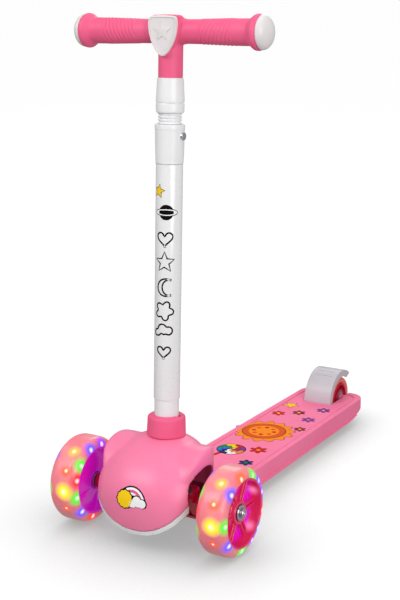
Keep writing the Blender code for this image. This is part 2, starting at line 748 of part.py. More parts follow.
def ear_mesh(name, inset=0.0):
    """Rounded shoulders over both wheel arches: a drum along X trimmed to the plan outline."""
    reach = EAR_HALF_WIDTH + 0.01
    drum = rod_mesh(name, EAR_RADIUS - inset, (-reach, EAR_CENTRE_Y, EAR_CENTRE_Z),
                    (reach, EAR_CENTRE_Y, EAR_CENTRE_Z), steps=36)
    item = bpy.data.objects.new(name, drum)
    cutters.objects.link(item)
    centre_y = COVER_CENTRE_Y + EAR_SHIFT
    plan = rounded_oval(EAR_HALF_WIDTH - inset, EAR_HALF_DEPTH - inset, centre_y, 36)
    shape(item, "INTERSECT", [outline_mesh("plan", plan, 0.0, COVER_TOP_Z)])
    return settle(item)


def split_drum(name, radius, centre_z):
    """A drum along Y whose underside is the curve that parts the cover from the base."""
    return rod_mesh(name, radius, (0, -0.2, centre_z), (0, 0.3, centre_z), steps=72)


def arch_cutters():
    """Openings at both sides for the wheel knuckles."""
    made = []
    for side in (-1, 1):
        near = side * ARCH_INNER_X
        far = side * (COVER_HALF_WIDTH + 0.01)
        made.append(rod_mesh("arch", ARCH_RADIUS, (near, ARCH_CENTRE_Y, ARCH_CENTRE_Z),
                             (far, ARCH_CENTRE_Y, ARCH_CENTRE_Z), steps=32))
        low_x, high_x = min(near, far), max(near, far)
        made.append(box_mesh("arch_foot", (low_x, ARCH_CENTRE_Y - ARCH_RADIUS, 0.0),
                             (high_x, ARCH_CENTRE_Y + ARCH_RADIUS, ARCH_CENTRE_Z)))
    return made


def front_cover():
    """Pink hood: dome and shoulders as a thin shell, open below and at the arches."""
    item = add_part("front_cover", dome_mesh("front_cover"), PINK, 0.35)
    shape(item, "UNION", [ear_mesh("ears")])
    shape(item, "DIFFERENCE", [dome_mesh("hollow", COVER_WALL), ear_mesh("ear_hollow", COVER_WALL)])
    shape(item, "INTERSECT", [split_drum("split", SPLIT_RADIUS, SPLIT_CENTRE_Z)])
    half = TONGUE_HALF_WIDTH + TOUCH_GAP
    tongue = box_mesh("tongue_gap", (-half, TAIL_FRONT_Y, 0.0), (half, SCREW_ROWS[1], DECK_TOP_Z + TOUCH_GAP))
    above = stem_point(NECK_SPIGOT_DEPTH)
    spigot = rod_mesh("neck_hole", NECK_SPIGOT_RADIUS + TOUCH_GAP, stem_point(-NECK_SPIGOT_DEPTH), above, 32)
    seat = rod_mesh("neck_seat", NECK_RADIUS + TOUCH_GAP, stem_point(NECK_FOOT - TOUCH_GAP), above, 32)
    deck = deck_gap(0.0)
    shape(item, "DIFFERENCE", arch_cutters() + [tongue, spigot, seat, deck])
    place(item, (0, FRONT_AXLE_Y, 0))
    soften(item)


def deck_gap(low):
    """Everything behind the deck's front edge and above one height, to keep clear of the deck."""
    reach = COVER_HALF_WIDTH + COVER_HALF_DEPTH
    front = DECK_FRONT_Y - TOUCH_GAP
    return box_mesh("deck_gap", (-reach, front, low), (reach, front + reach, COVER_TOP_Z))


def stem_point(height):
    """A point on the stem's axis, relative to the front axle line on the floor."""
    lean = Matrix.Rotation(-STEM_LEAN, 3, "X")
    return Vector((0, STEM_BASE_Y, STEM_BASE_Z)) + lean @ Vector((0, 0, height))


def front_base():
    """White belly pan: a curved tray under the cover with a tail that screws to the deck."""
    item = add_part("front_base", dome_mesh("front_base"), WHITE, 0.35)
    shape(item, "INTERSECT", [split_drum("outer", BASE_RADIUS, BASE_CENTRE_Z)])
    shape(item, "DIFFERENCE", [split_drum("inner", SPLIT_RADIUS + TOUCH_GAP, SPLIT_CENTRE_Z)])
    top = TONGUE_BOTTOM_Z - TOUCH_GAP
    low = top - TAIL_THICKNESS
    tail = box_mesh("tail", (-TAIL_HALF_WIDTH, TAIL_FRONT_Y, low), (TAIL_HALF_WIDTH, TAIL_REAR_Y, top))
    shape(item, "UNION", [tail])
    hole = SCREW_RADIUS + TOUCH_GAP
    screws = [rod_mesh("screw_hole", hole, (x, y, low - SINK), (x, y, top + SINK), TINY_STEPS)
              for x, y in screw_places()]
    shape(item, "DIFFERENCE", arch_cutters() + screws + [deck_gap(top + TOUCH_GAP / 3)])
    place(item, (0, FRONT_AXLE_Y, 0))
    soften(item)


def screw_places():
    """Four screws up through the base's tail into the deck's tongue."""
    across = TONGUE_HALF_WIDTH - SCREW_INSET
    return [(x, y) for x in (-across, across) for y in SCREW_ROWS]


def deck_screws():
    """Four countersunk screws that hold the base's tail to the deck."""
    seat = TONGUE_BOTTOM_Z - 2 * TOUCH_GAP - TAIL_THICKNESS
    profile = [(0, -SCREW_HEAD_DEPTH), (0, SCREW_LENGTH), (SCREW_RADIUS, SCREW_LENGTH),
               (SCREW_RADIUS, 0), (SCREW_HEAD_RADIUS, 0), (SCREW_HEAD_RADIUS, -SCREW_HEAD_DEPTH)]
    for number, (x, y) in enumerate(screw_places(), start=1):
        screw = lathe_mesh("screw", profile, TINY_STEPS)
        item = add_part(f"deck_screw_{number}", screw, STEEL, 0.3, 1.0)
        soften(place(item, (x, FRONT_AXLE_Y + y, seat)))


def neck_socket():
    """Deep pink collar on the cover that holds the stem."""
    bore = INSERT_RADIUS + TOUCH_GAP
    low = -NECK_SPIGOT_DEPTH
    rim = NECK_FOOT + NECK_HEIGHT - NECK_CONE
    top = rim + NECK_CONE
    profile = [(0, low + NECK_FLOOR), (0, low), (NECK_SPIGOT_RADIUS, low), (NECK_SPIGOT_RADIUS, NECK_FOOT),
               (NECK_RADIUS, NECK_FOOT), (NECK_TOP_RADIUS, rim), (bore + 0.002, top), (bore, top - 0.001),
               (bore, low + NECK_FLOOR)]
    item = add_part("neck_socket", lathe_mesh("neck", profile), DEEP_PINK, 0.4)
    near = INSERT_RADIUS - 0.0015
    far = NECK_TOP_RADIUS - 0.0042
    half = NECK_SLOT_HALF
    slots = [box_mesh("slot", (low_x, -half, top - NECK_SLOT_DEPTH), (high_x, half, top + SINK))
             for low_x, high_x in ((-far, -near), (near, far))]
    start = (0, RELEASE_INNER_END - SINK, RELEASE_HEIGHT)
    release = rod_mesh("release_hole", RELEASE_RADIUS + RUN_GAP, start,
                       (0, NECK_RADIUS + NECK_WALL, RELEASE_HEIGHT))
    shape(item, "DIFFERENCE", slots + [release])
    return item


# ---------------------------------------------------------------- steering

def steering_frame():
    """Empty on the axle line whose local Z is the kingpins' direction."""
    return empty("steering_axis", (0, FRONT_AXLE_Y, FRONT_AXLE_Z), KINGPIN_TILT)


def axle_carrier(frame):
    """Crimson cross beam: a web with lugs that hold both kingpins, a foot and a stem seat."""
    lug_low = BARREL_HALF + RUN_GAP
    lug_high = lug_low + LUG_THICKNESS
    reach = KINGPIN_X + KINGPIN_HEAD_RADIUS + 0.003
    cheek = KINGPIN_X - BARREL_RADIUS - LOOSE_GAP
    inner = ARCH_INNER_X + 2 * TOUCH_GAP
    web = box_mesh("carrier", (-cheek, -WEB_HALF_DEPTH, -WEB_HALF_HEIGHT),
                   (cheek, WEB_HALF_DEPTH, WEB_HALF_HEIGHT))
    item = add_part("axle_carrier", web, CRIMSON, 0.45)
    place(item, (0, 0, 0), frame)
    bpy.context.view_layer.update()
    plates = []
    for side in (-1, 1):
        near, far = sorted((side * inner, side * reach))
        for low in (lug_low, -lug_high):
            high = low + LUG_THICKNESS
            plates.append(box_mesh("lug", (near, -LUG_HALF_WIDTH, low), (far, LUG_HALF_WIDTH, high)))
        near, far = sorted((side * inner, side * cheek))
        plates.append(box_mesh("cheek", (near, -LUG_HALF_WIDTH, -lug_high), (far, LUG_HALF_WIDTH, lug_high)))
    to_local = item.matrix_world.inverted() @ Matrix.Translation((0, FRONT_AXLE_Y, 0))
    blocks = [moved(block, to_local) for block in carrier_blocks(cheek)]
    shape(item, "UNION", plates + blocks)
    holes = [rod_mesh("pin_hole", KINGPIN_RADIUS + TOUCH_GAP, (x, 0, -0.05), (x, 0, 0.05))
             for x in (-KINGPIN_X, KINGPIN_X)]
    shape(item, "DIFFERENCE", holes)
    soften(item)


def carrier_blocks(cheek):
    """The carrier's upright blocks: foot on the base, spring seats, and post and seat for the stem."""
    foot = cheek - FOOT_MARGIN
    spring = KINGPIN_X - SPRING_SEAT_MARGIN
    drum = SPLIT_RADIUS + TOUCH_GAP
    foot_low = SPLIT_CENTRE_Z - math.sqrt(drum ** 2 - foot ** 2) + TOUCH_GAP
    seat_top = stem_point(-NECK_SPIGOT_DEPTH).z - NECK_SPIGOT_RADIUS * math.sin(STEM_LEAN) - TOUCH_GAP
    axle = FRONT_AXLE_Z
    seat_low = seat_top - 0.0185
    post = SEAT_HALF_WIDTH - 0.002
    return [box_mesh("foot", (-foot, -0.004, foot_low), (foot, TAIL_FRONT_Y - TOUCH_GAP, axle - 0.0115)),
            box_mesh("spring_seat", (-spring, 0.010, axle - 0.0195), (spring, 0.034, axle + 0.0045)),
            box_mesh("stem_post", (-post, -0.016, axle + 0.0065), (post, 0.018, seat_low + 0.003)),
            box_mesh("stem_seat", (-SEAT_HALF_WIDTH, -0.018, seat_low), (SEAT_HALF_WIDTH, 0.050, seat_top))]


def kingpin(side, label, frame):
    seat = BARREL_HALF + RUN_GAP + LUG_THICKNESS + TOUCH_GAP
    top = seat + KINGPIN_HEAD_DEPTH
    tip = -seat - LOOSE_GAP
    profile = [(0, top), (KINGPIN_HEAD_RADIUS, top), (KINGPIN_HEAD_RADIUS, seat), (KINGPIN_RADIUS, seat),
               (KINGPIN_RADIUS, tip), (0, tip)]
    item = add_part(f"kingpin_{label}", lathe_mesh("kingpin", profile, SMALL_STEPS), STEEL, 0.3, 1.0)
    soften(place(item, (side * KINGPIN_X, 0, 0), frame))


def knuckle(side, label, frame):
    """Wheel knuckle: barrel on the kingpin, block and boss for the axle, steering arm to the tie rod."""
    barrel = rod_mesh("barrel", BARREL_RADIUS, (0, 0, -BARREL_HALF), (0, 0, BARREL_HALF), WHEEL_STEPS)
    item = add_part(f"knuckle_{label}", barrel, CRIMSON, 0.4)
    place(item, (side * KINGPIN_X, 0, 0), frame)
    wheel = WHEEL_X - KINGPIN_X
    boss_end = wheel - FRONT_TYRE_WIDTH / 2 - AXLE_BOSS_GAP
    near, far = sorted((0, side * BLOCK_LENGTH))
    high = BARREL_HALF - 0.003
    block = box_mesh("block", (near, -BARREL_RADIUS, -high), (far, BARREL_RADIUS, high))
    boss = rod_mesh("boss", AXLE_BOSS_RADIUS, (side * BOSS_START, 0, 0), (side * boss_end, 0, 0), WHEEL_STEPS,
                    AXLE_BOSS_END_RADIUS)
    arm_low = -BARREL_HALF
    half = STEER_ARM_WIDTH / 2
    arm = box_mesh("arm", (-half, 0, arm_low), (half, STEER_ARM + half, arm_low + STEER_ARM_THICKNESS))
    shape(item, "UNION", [block, boss, arm])
    pin = rod_mesh("kingpin_hole", KINGPIN_RADIUS + RUN_GAP, (0, 0, -0.03), (0, 0, 0.03))
    tie = rod_mesh("tie_hole", TIE_PIN_RADIUS + TOUCH_GAP, (0, STEER_ARM, -0.03), (0, STEER_ARM, 0.0), 16)
    bolt_start = BARREL_RADIUS + BOLT_WALL - TOUCH_GAP
    bolt = rod_mesh("bolt_hole", AXLE_RADIUS + TOUCH_GAP, (side * bolt_start, 0, 0), (side * wheel, 0, 0))
    shape(item, "DIFFERENCE", [pin, tie, bolt])
    soften(item)


def tie_rod(frame):
    """Flat bar that makes both knuckles turn together."""
    low = -BARREL_HALF + STEER_ARM_THICKNESS + TOUCH_GAP * 2
    half = STEER_ARM_WIDTH / 2
    ends = arc((KINGPIN_X, 0), half, -90, 90, 8) + arc((-KINGPIN_X, 0), half, 90, 270, 8)
    item = add_part("tie_rod", outline_mesh("tie_rod", ends, low, low + TIE_ROD_THICKNESS), STEEL, 0.35, 1.0)
    place(item, (0, STEER_ARM, 0), frame)
    eyes = [rod_mesh("eye", TIE_PIN_RADIUS + TIE_PIN_SLACK, (x, 0, -0.03), (x, 0, 0.01), 16)
            for x in (-KINGPIN_X, KINGPIN_X)]
    shape(item, "DIFFERENCE", eyes)
    soften(item)


def tie_pin(side, label, frame):
    low = -BARREL_HALF - LOOSE_GAP
    seat = -BARREL_HALF + STEER_ARM_THICKNESS + TIE_ROD_THICKNESS + TOUCH_GAP * 4
    top = seat + TIE_HEAD_DEPTH
    head = TIE_PIN_RADIUS + TIE_PIN_SLACK + 0.0012
    profile = [(0, top), (head, top), (head, seat), (TIE_PIN_RADIUS, seat), (TIE_PIN_RADIUS, low), (0, low)]
    item = add_part(f"tie_rod_pin_{label}", lathe_mesh("tie_pin", profile, 16), STEEL, 0.3, 1.0)
    soften(place(item, (side * KINGPIN_X, STEER_ARM, 0), frame))


def centring_spring(side, label, frame):
    """Coil between the carrier's spring seat and the steering arm."""
    start = KINGPIN_X - SPRING_SEAT_MARGIN + TOUCH_GAP + SPRING_WIRE
    end = KINGPIN_X - STEER_ARM_WIDTH / 2 - TOUCH_GAP - SPRING_WIRE
    coil = coil_mesh("coil", SPRING_RADIUS, SPRING_WIRE, 4, end - start, 7)
    coil = moved(coil, Matrix.Diagonal((side, 1, 1, 1)))
    item = add_part(f"centring_spring_{label}", coil, STEEL, 0.3, 1.0)
    height = -BARREL_HALF + STEER_ARM_THICKNESS / 2
    place(item, (side * start, SPRING_ARM, height), frame)
    soften(item, 60)


# ---------------------------------------------------------------- deck and brake

def deck_plan(half_front, half_rear, corner_front, corner_tail, inset=0.0):
    """Deck outline seen from above, from the front edge to the two rear arms."""
    front = DECK_FRONT_Y + inset
    rear = DECK_REAR_Y - inset
    right_front = arc((half_front - corner_front, front + corner_front), corner_front, -90, 0, 4)
    right_rear = arc((half_rear - corner_tail, rear - corner_tail), corner_tail, 0, 90, 6)
    right = right_front + right_rear
    return right + [(-x, y) for x, y in reversed(right)]


def side_profile():
    """Deck seen from the side, with its underside curving up to the tail, as (y, z) points."""
    run = DECK_TAIL_RISE
    curve = [(DECK_REAR_Y - run + run * math.sin(t), DECK_TOP_Z - DECK_DEPTH * math.cos(t))
             for t in (math.radians(a) for a in range(0, 76, 15))]
    far = DECK_REAR_Y + 0.01
    above = DECK_TOP_Z + DECK_DEPTH
    return [(0.0, DECK_BOTTOM_Z)] + curve + [(far, curve[-1][1]), (far, above), (0.0, above)]


def x_extrusion(name, points, low, high):
    """Extrude a (y, z) outline along X between two places."""
    made = outline_mesh(name, points, low, high)
    return moved(made, Matrix(((0, 0, 1, 0), (1, 0, 0, 0), (0, 1, 0, 0), (0, 0, 0, 1))))


def deck_walls():
    """What stands inside the deck: the walls round the wheel slot, the ribs and the tongue."""
    top = DECK_TOP_Z - DECK_PLATE + SINK
    low = DECK_BOTTOM_Z + 0.003
    far = SLOT_HALF_WIDTH + SLOT_WALL
    front = SLOT_FRONT_Y - SLOT_WALL
    walls = [box_mesh("slot_wall", (near_x, front, low), (far_x, DECK_REAR_Y - SINK, top))
             for near_x, far_x in ((-far, -SLOT_HALF_WIDTH), (SLOT_HALF_WIDTH, far))]
    walls.append(box_mesh("slot_front", (-far, front, low), (far, SLOT_FRONT_Y, top)))
    spacing = (SLOT_FRONT_Y - TAIL_REAR_Y) / (RIB_COUNT + 1)
    reach = DECK_REAR_HALF_WIDTH - DECK_WALL + SINK
    low = DECK_TOP_Z - DECK_PLATE - RIB_DEPTH
    for i in range(RIB_COUNT):
        y = TAIL_REAR_Y + spacing * (i + 1)
        walls.append(box_mesh("rib", (-reach, y, low), (reach, y + RIB_THICKNESS, top)))
    walls.append(box_mesh("tongue", (-TONGUE_HALF_WIDTH, TONGUE_FRONT_Y, TONGUE_BOTTOM_Z),
                          (TONGUE_HALF_WIDTH, TAIL_REAR_Y + 0.004, DECK_TOP_Z - 2 * PANEL_DEPTH)))
    return walls


def deck_holes():
    """Holes through the deck for the rear axle, the brake's pin and the four screws."""
    seat = SLOT_HALF_WIDTH + BOSS_LENGTH
    pocket = seat + TOUCH_GAP / 2
    head = REAR_HEAD_RADIUS + TOUCH_GAP
    end = pocket + REAR_HEAD_DEPTH + 0.0035
    holes = [rod_mesh("head_pocket", head, (side * pocket, WHEELBASE, REAR_AXLE_Z),
                      (side * end, WHEELBASE, REAR_AXLE_Z)) for side in (-1, 1)]
    holes.append(rod_mesh("axle_hole", AXLE_RADIUS + TOUCH_GAP, (-end, WHEELBASE, REAR_AXLE_Z),
                          (end, WHEELBASE, REAR_AXLE_Z)))
    reach = SLOT_HALF_WIDTH + 0.010
    holes.append(rod_mesh("brake_hole", BRAKE_PIN_RADIUS + TOUCH_GAP, (-reach, BRAKE_PIVOT_Y, BRAKE_PIVOT_Z),
                          (reach, BRAKE_PIVOT_Y, BRAKE_PIVOT_Z)))
    for x, y in screw_places():
        holes.append(rod_mesh("pilot", SCREW_RADIUS + TOUCH_GAP, (x, y, DECK_BOTTOM_Z),
                              (x, y, TONGUE_BOTTOM_Z + 0.0055), TINY_STEPS))
    return holes


def deck_board():
    """Pink deck: a hollow board with ribs, a tongue in front and a fork for the rear wheel."""
    body = deck_plan(DECK_HALF_WIDTH, DECK_REAR_HALF_WIDTH, DECK_CORNER, DECK_TAIL_CORNER)
    item = add_part("deck_board", rounded(outline_mesh("deck", body, DECK_BOTTOM_Z, DECK_TOP_Z)), PINK, 0.4)
    lip = deck_plan(DECK_HALF_WIDTH + DECK_LIP, DECK_REAR_HALF_WIDTH + DECK_LIP, DECK_CORNER + DECK_LIP,
                    DECK_TAIL_CORNER + DECK_LIP, -DECK_LIP)
    shape(item, "UNION", [outline_mesh("lip", lip, DECK_BOTTOM_Z, DECK_BOTTOM_Z + DECK_LIP_HEIGHT)])
    reach = DECK_HALF_WIDTH + 0.022
    shape(item, "INTERSECT", [x_extrusion("side", side_profile(), -reach, reach)])
    inner = deck_plan(DECK_HALF_WIDTH - DECK_WALL, DECK_REAR_HALF_WIDTH - DECK_WALL, DECK_CORNER - DECK_WALL,
                      DECK_TAIL_CORNER - DECK_WALL, DECK_WALL)
    half = TAIL_HALF_WIDTH + TOUCH_GAP
    notch = box_mesh("tail_notch", (-half, TONGUE_FRONT_Y, 0.0),
                     (half, DECK_FRONT_Y + DECK_WALL + SINK, TONGUE_BOTTOM_Z + SINK))
    shape(item, "DIFFERENCE", [outline_mesh("hollow", inner, 0.0, DECK_TOP_Z - DECK_PLATE), notch])
    shape(item, "UNION", deck_walls())
    panel = deck_plan(DECK_HALF_WIDTH - PANEL_BORDER, DECK_REAR_HALF_WIDTH - PANEL_BORDER, DECK_CORNER,
                      DECK_TAIL_CORNER, PANEL_BORDER)
    slot = box_mesh("slot", (-SLOT_HALF_WIDTH, SLOT_FRONT_Y, 0.0),
                    (SLOT_HALF_WIDTH, DECK_REAR_Y + DECK_WALL, DECK_TOP_Z + DECK_DEPTH))
    recess = outline_mesh("panel", panel, DECK_TOP_Z - PANEL_DEPTH, DECK_TOP_Z + SINK)
    shape(item, "DIFFERENCE", [recess, slot])
    bosses = [rod_mesh("boss", BOSS_RADIUS, (side * REAR_TYRE_WIDTH / 2, WHEELBASE, REAR_AXLE_Z),
                       (side * (SLOT_HALF_WIDTH + BOSS_LENGTH), WHEELBASE, REAR_AXLE_Z)) for side in (-1, 1)]
    shape(item, "UNION", bosses)
    shape(item, "DIFFERENCE", deck_holes())
    place(item, (0, FRONT_AXLE_Y, 0))
    soften(item)


def brake_pedal():
    """Grey fender over the rear wheel, hinged at its front edge: an arc with side flanges."""
    tail = 90 - FENDER_END_ANGLE
    start = 180 + FENDER_START_ANGLE
    centre = (FENDER_CENTRE_Y, FENDER_CENTRE_Z)
    skirt = FENDER_RADIUS - FENDER_FLANGE
    inner = FENDER_RADIUS - FENDER_THICKNESS
    solid = arc(centre, FENDER_RADIUS, tail, start, 14) + arc(centre, skirt, start, tail, 14)
    half = FENDER_HALF_WIDTH
    item = add_part("brake_pedal", x_extrusion("shell", solid, -half, half), GREY, 0.45)
    edge = half - FENDER_THICKNESS
    under = skirt - 0.01
    channel = arc(centre, inner, tail - 20, start + 20, 18) + arc(centre, under, start + 20, tail - 20, 18)
    flange_end = arc(centre, inner, tail - 20, tail + 6, 4) + arc(centre, under, tail + 6, tail - 20, 4)
    shape(item, "DIFFERENCE", [x_extrusion("channel", channel, -edge, edge),
                               x_extrusion("flange_end", flange_end, -half - SINK, half + SINK)])
    ears = [rod_mesh("ear", BRAKE_EAR_RADIUS, (side * (edge + 0.0002), BRAKE_PIVOT_Y, BRAKE_PIVOT_Z),
                     (side * (FENDER_HALF_WIDTH - 0.0002), BRAKE_PIVOT_Y, BRAKE_PIVOT_Z)) for side in (-1, 1)]
    shape(item, "UNION", ears)
    reach = SLOT_HALF_WIDTH + SLOT_WALL
    hole = rod_mesh("pin_hole", BRAKE_PIN_RADIUS + RUN_GAP, (-reach, BRAKE_PIVOT_Y, BRAKE_PIVOT_Z),
                    (reach, BRAKE_PIVOT_Y, BRAKE_PIVOT_Z), 16)
    shape(item, "DIFFERENCE", [hole])
    origin = Vector((0, BRAKE_PIVOT_Y, BRAKE_PIVOT_Z))
    moved(item.data, Matrix.Translation(-origin))
    place(item, origin + Vector((0, FRONT_AXLE_Y, 0)))
    soften(item)


def brake_pin_and_spring():
    centre = (0, FRONT_AXLE_Y + BRAKE_PIVOT_Y, BRAKE_PIVOT_Z)
    reach = SLOT_HALF_WIDTH + SLOT_WALL + 0.003
    pin = rod_mesh("brake_pin", BRAKE_PIN_RADIUS, (-reach, 0, 0), (reach, 0, 0))
    item = add_part("brake_pin", pin, STEEL, 0.3, 1.0)
    soften(place(item, centre))
    length = BRAKE_SPRING_LENGTH
    wire = BRAKE_SPRING_WIRE
    coil = coil_mesh("brake_spring", BRAKE_PIN_RADIUS + 2 * wire, wire, 4, length, 7)
    item = add_part("brake_spring", moved(coil, Matrix.Translation((-length / 2, 0, 0))), STEEL, 0.3, 1.0)
    soften(place(item, centre), 60)


# ---------------------------------------------------------------- stem and handlebar

def stem_parts(axis):
    """Insert, outer tube, collar and bush, all turned about the stem's axis."""
    neck = neck_socket()
    place(neck, (0, 0, 0), axis)
    soften(neck)
    plug = TUBE_RADIUS - TUBE_WALL - TOUCH_GAP
    low = -NECK_SPIGOT_DEPTH + NECK_FLOOR + TOUCH_GAP
    insert = [(0, TUBE_LOW + INSERT_SPIGOT), (plug, TUBE_LOW + INSERT_SPIGOT), (plug, TUBE_LOW),
              (INSERT_RADIUS, TUBE_LOW), (INSERT_RADIUS, low), (0, low)]
    item = add_part("stem_insert", lathe_mesh("insert", insert), WHITE, 0.4)
    place(item, (0, 0, 0), axis)
    pocket = rod_mesh("pocket", RELEASE_RADIUS + RUN_GAP, (0, RELEASE_POCKET, RELEASE_HEIGHT),
                      (0, NECK_RADIUS, RELEASE_HEIGHT))
    shape(item, "DIFFERENCE", [pocket])
    soften(item)
    tube = ring_profile(TUBE_RADIUS, TUBE_RADIUS - TUBE_WALL, TUBE_LOW + TOUCH_GAP, TUBE_HIGH)
    soften(place(add_part("stem_tube", lathe_mesh("tube", tube), WHITE, 0.25), (0, 0, 0), axis))
    bore = INNER_RADIUS + RUN_GAP
    base = TUBE_HIGH + TOUCH_GAP
    collar = [(COLLAR_HIGH_RADIUS - 0.001, COLLAR_HIGH), (COLLAR_HIGH_RADIUS, COLLAR_HIGH - 0.002),
              (COLLAR_HIGH_RADIUS, COLLAR_HIGH - COLLAR_RIM), (COLLAR_LOW_RADIUS, base), (plug, base),
              (plug, base - COLLAR_SPIGOT), (bore, base - COLLAR_SPIGOT), (bore, COLLAR_HIGH)]
    item = add_part("lock_collar", lathe_mesh("collar", collar), WHITE, 0.35)
    place(item, (0, 0, 0), axis)
    floor = bore + BUTTON_FLOOR
    outside = (COLLAR_HIGH_RADIUS + BUTTON_PROUD, 0, BUTTON_HEIGHT)
    wide = rod_mesh("button_hole", BUTTON_RADIUS + RUN_GAP, (floor, 0, BUTTON_HEIGHT), outside)
    narrow = rod_mesh("nose_hole", BUTTON_NOSE_RADIUS + RUN_GAP, (bore - 2 * SINK, 0, BUTTON_HEIGHT), outside)
    shape(item, "DIFFERENCE", [wide, narrow])
    soften(item)
    low = COLLAR_HIGH + TOUCH_GAP
    pitch = (BUSH_HIGH - low) / (BUSH_GROOVES + 0.5)
    outline = [(bore, BUSH_HIGH), (BUSH_RADIUS, BUSH_HIGH)]
    for i in range(BUSH_GROOVES):
        middle = BUSH_HIGH - pitch * (i + 0.75)
        outline += [(BUSH_RADIUS, middle + pitch / 4), (BUSH_RADIUS - BUSH_GROOVE_DEPTH, middle),
                    (BUSH_RADIUS, middle - pitch / 4)]
    outline += [(BUSH_RADIUS, low), (bore, low)]
    soften(place(add_part("collar_bush", lathe_mesh("bush", outline), WHITE, 0.4), (0, 0, 0), axis))


def lock_button(axis):
    """Chrome push button in the collar; its nose rides in the inner tube's keyway."""
    face = COLLAR_HIGH_RADIUS + BUTTON_PROUD
    nose = INNER_RADIUS + RUN_GAP
    shoulder = nose + BUTTON_FLOOR + BUTTON_TRAVEL + TOUCH_GAP
    profile = [(0, face), (BUTTON_RADIUS - 0.001, face), (BUTTON_RADIUS, face - 0.001),
               (BUTTON_RADIUS, shoulder), (BUTTON_NOSE_RADIUS, shoulder), (BUTTON_NOSE_RADIUS, nose),
               (0, nose)]
    item = add_part("lock_button", moved(lathe_mesh("button", profile, SMALL_STEPS), TO_X), STEEL, 0.2, 1.0)
    soften(place(item, (0, 0, BUTTON_HEIGHT), axis))
    start = nose + BUTTON_FLOOR + 2 * BUTTON_SPRING_WIRE
    length = shoulder - start - 2 * BUTTON_SPRING_WIRE
    coil = coil_mesh("lock_button_spring", BUTTON_NOSE_RADIUS + 0.0011, BUTTON_SPRING_WIRE, 3, length, 6)
    item = add_part("lock_button_spring", coil, STEEL, 0.3, 1.0)
    soften(place(item, (start, 0, BUTTON_HEIGHT), axis), 60)


def release_button(axis):
    """Button at the back of the neck that frees the stem."""
    face = NECK_RADIUS + RELEASE_PROUD
    profile = [(0, face), (RELEASE_RADIUS - 0.001, face), (RELEASE_RADIUS, face - 0.001),
               (RELEASE_RADIUS, RELEASE_INNER_END), (0, RELEASE_INNER_END)]
    turn = Matrix.Rotation(math.radians(-90), 4, "X")
    button = moved(lathe_mesh("release", profile, SMALL_STEPS), turn)
    item = add_part("stem_release_button", button, DEEP_PINK, 0.4)
    soften(place(item, (0, 0, RELEASE_HEIGHT), axis))
    start = RELEASE_POCKET + TOUCH_GAP + BUTTON_SPRING_WIRE
    length = RELEASE_INNER_END - start - TOUCH_GAP - BUTTON_SPRING_WIRE
    coil = coil_mesh("release_spring", RELEASE_RADIUS - 0.0012, BUTTON_SPRING_WIRE, 3, length, 6)
    turn = Matrix.Rotation(math.radians(90), 4, "Z")
    item = add_part("release_spring", moved(coil, turn), STEEL, 0.3, 1.0)
    soften(place(item, (0, start, RELEASE_HEIGHT), axis), 60)


def handle_tube(axis):
    """Inner tube that slides in the stem, with its keyway, and the sleeve under the handlebar."""
    high = BAR_HEIGHT - BAR_CORE_RADIUS - 0.006
    tube = ring_profile(INNER_RADIUS, INNER_RADIUS - INNER_WALL, INNER_LOW, high)
    item = add_part("inner_tube", lathe_mesh("inner", tube), WHITE, 0.3)
    place(item, (0, 0, 0), axis)
    half = BUTTON_NOSE_RADIUS + RUN_GAP
    low = BUTTON_HEIGHT - HANDLE_TRAVEL - KEYWAY_END
    keyway = box_mesh("keyway", (INNER_RADIUS - 0.004, -half, low),
                      (INNER_RADIUS + 0.004, half, BUTTON_HEIGHT + KEYWAY_END - SINK))
    shape(item, "DIFFERENCE", [keyway])
    soften(item)
    bore = INNER_RADIUS + TOUCH_GAP
    low = BUSH_HIGH + TOUCH_GAP
    sleeve = [(SLEEVE_HIGH_RADIUS - 0.001, SLEEVE_HIGH), (SLEEVE_HIGH_RADIUS, SLEEVE_HIGH - 0.001),
              (SLEEVE_LOW_RADIUS, SLEEVE_STEP), (SLEEVE_LOW_RADIUS, SLEEVE_STEP - 0.005),
              (SLEEVE_LOW_RADIUS - SLEEVE_SEAM, SLEEVE_STEP - 0.0055),
              (SLEEVE_LOW_RADIUS, SLEEVE_STEP - 0.006),
              (SLEEVE_LOW_RADIUS, low), (bore, low), (bore, SLEEVE_HIGH)]
    soften(place(add_part("handle_sleeve", lathe_mesh("sleeve", sleeve), WHITE, 0.35), (0, 0, 0), axis))


def handlebar_tee(axis):
    """Deep pink T: socket over the inner tube, cross bar, and a pad for the badge."""
    top = BAR_HEIGHT + TEE_TOP
    low = SLEEVE_HIGH + TOUCH_GAP
    socket = [(0, top), (TEE_RADIUS - 0.004, top), (TEE_RADIUS, top - 0.003), (TEE_RADIUS, low), (0, low)]
    item = add_part("handlebar_tee", lathe_mesh("tee", socket), DEEP_PINK, 0.45)
    place(item, (0, 0, 0), axis)
    bar = rod_mesh("bar", BAR_RADIUS, (-GRIP_START, 0, BAR_HEIGHT), (GRIP_START, 0, BAR_HEIGHT), WHEEL_STEPS)
    core = rod_mesh("core", BAR_CORE_RADIUS, (-GRIP_END, 0, BAR_HEIGHT), (GRIP_END, 0, BAR_HEIGHT),
                    WHEEL_STEPS)
    pad = box_mesh("pad", (-PAD_HALF_WIDTH, -PAD_FRONT, BAR_HEIGHT - PAD_LOW),
                   (PAD_HALF_WIDTH, PAD_BACK, BAR_HEIGHT + PAD_HIGH))
    shape(item, "UNION", [bar, core, pad])
    hole = rod_mesh("tube_hole", INNER_RADIUS + TOUCH_GAP, (0, 0, low - SINK),
                    (0, 0, BAR_HEIGHT - BAR_CORE_RADIUS - 0.0055), WHEEL_STEPS)
    shape(item, "DIFFERENCE", [hole])
    soften(item)


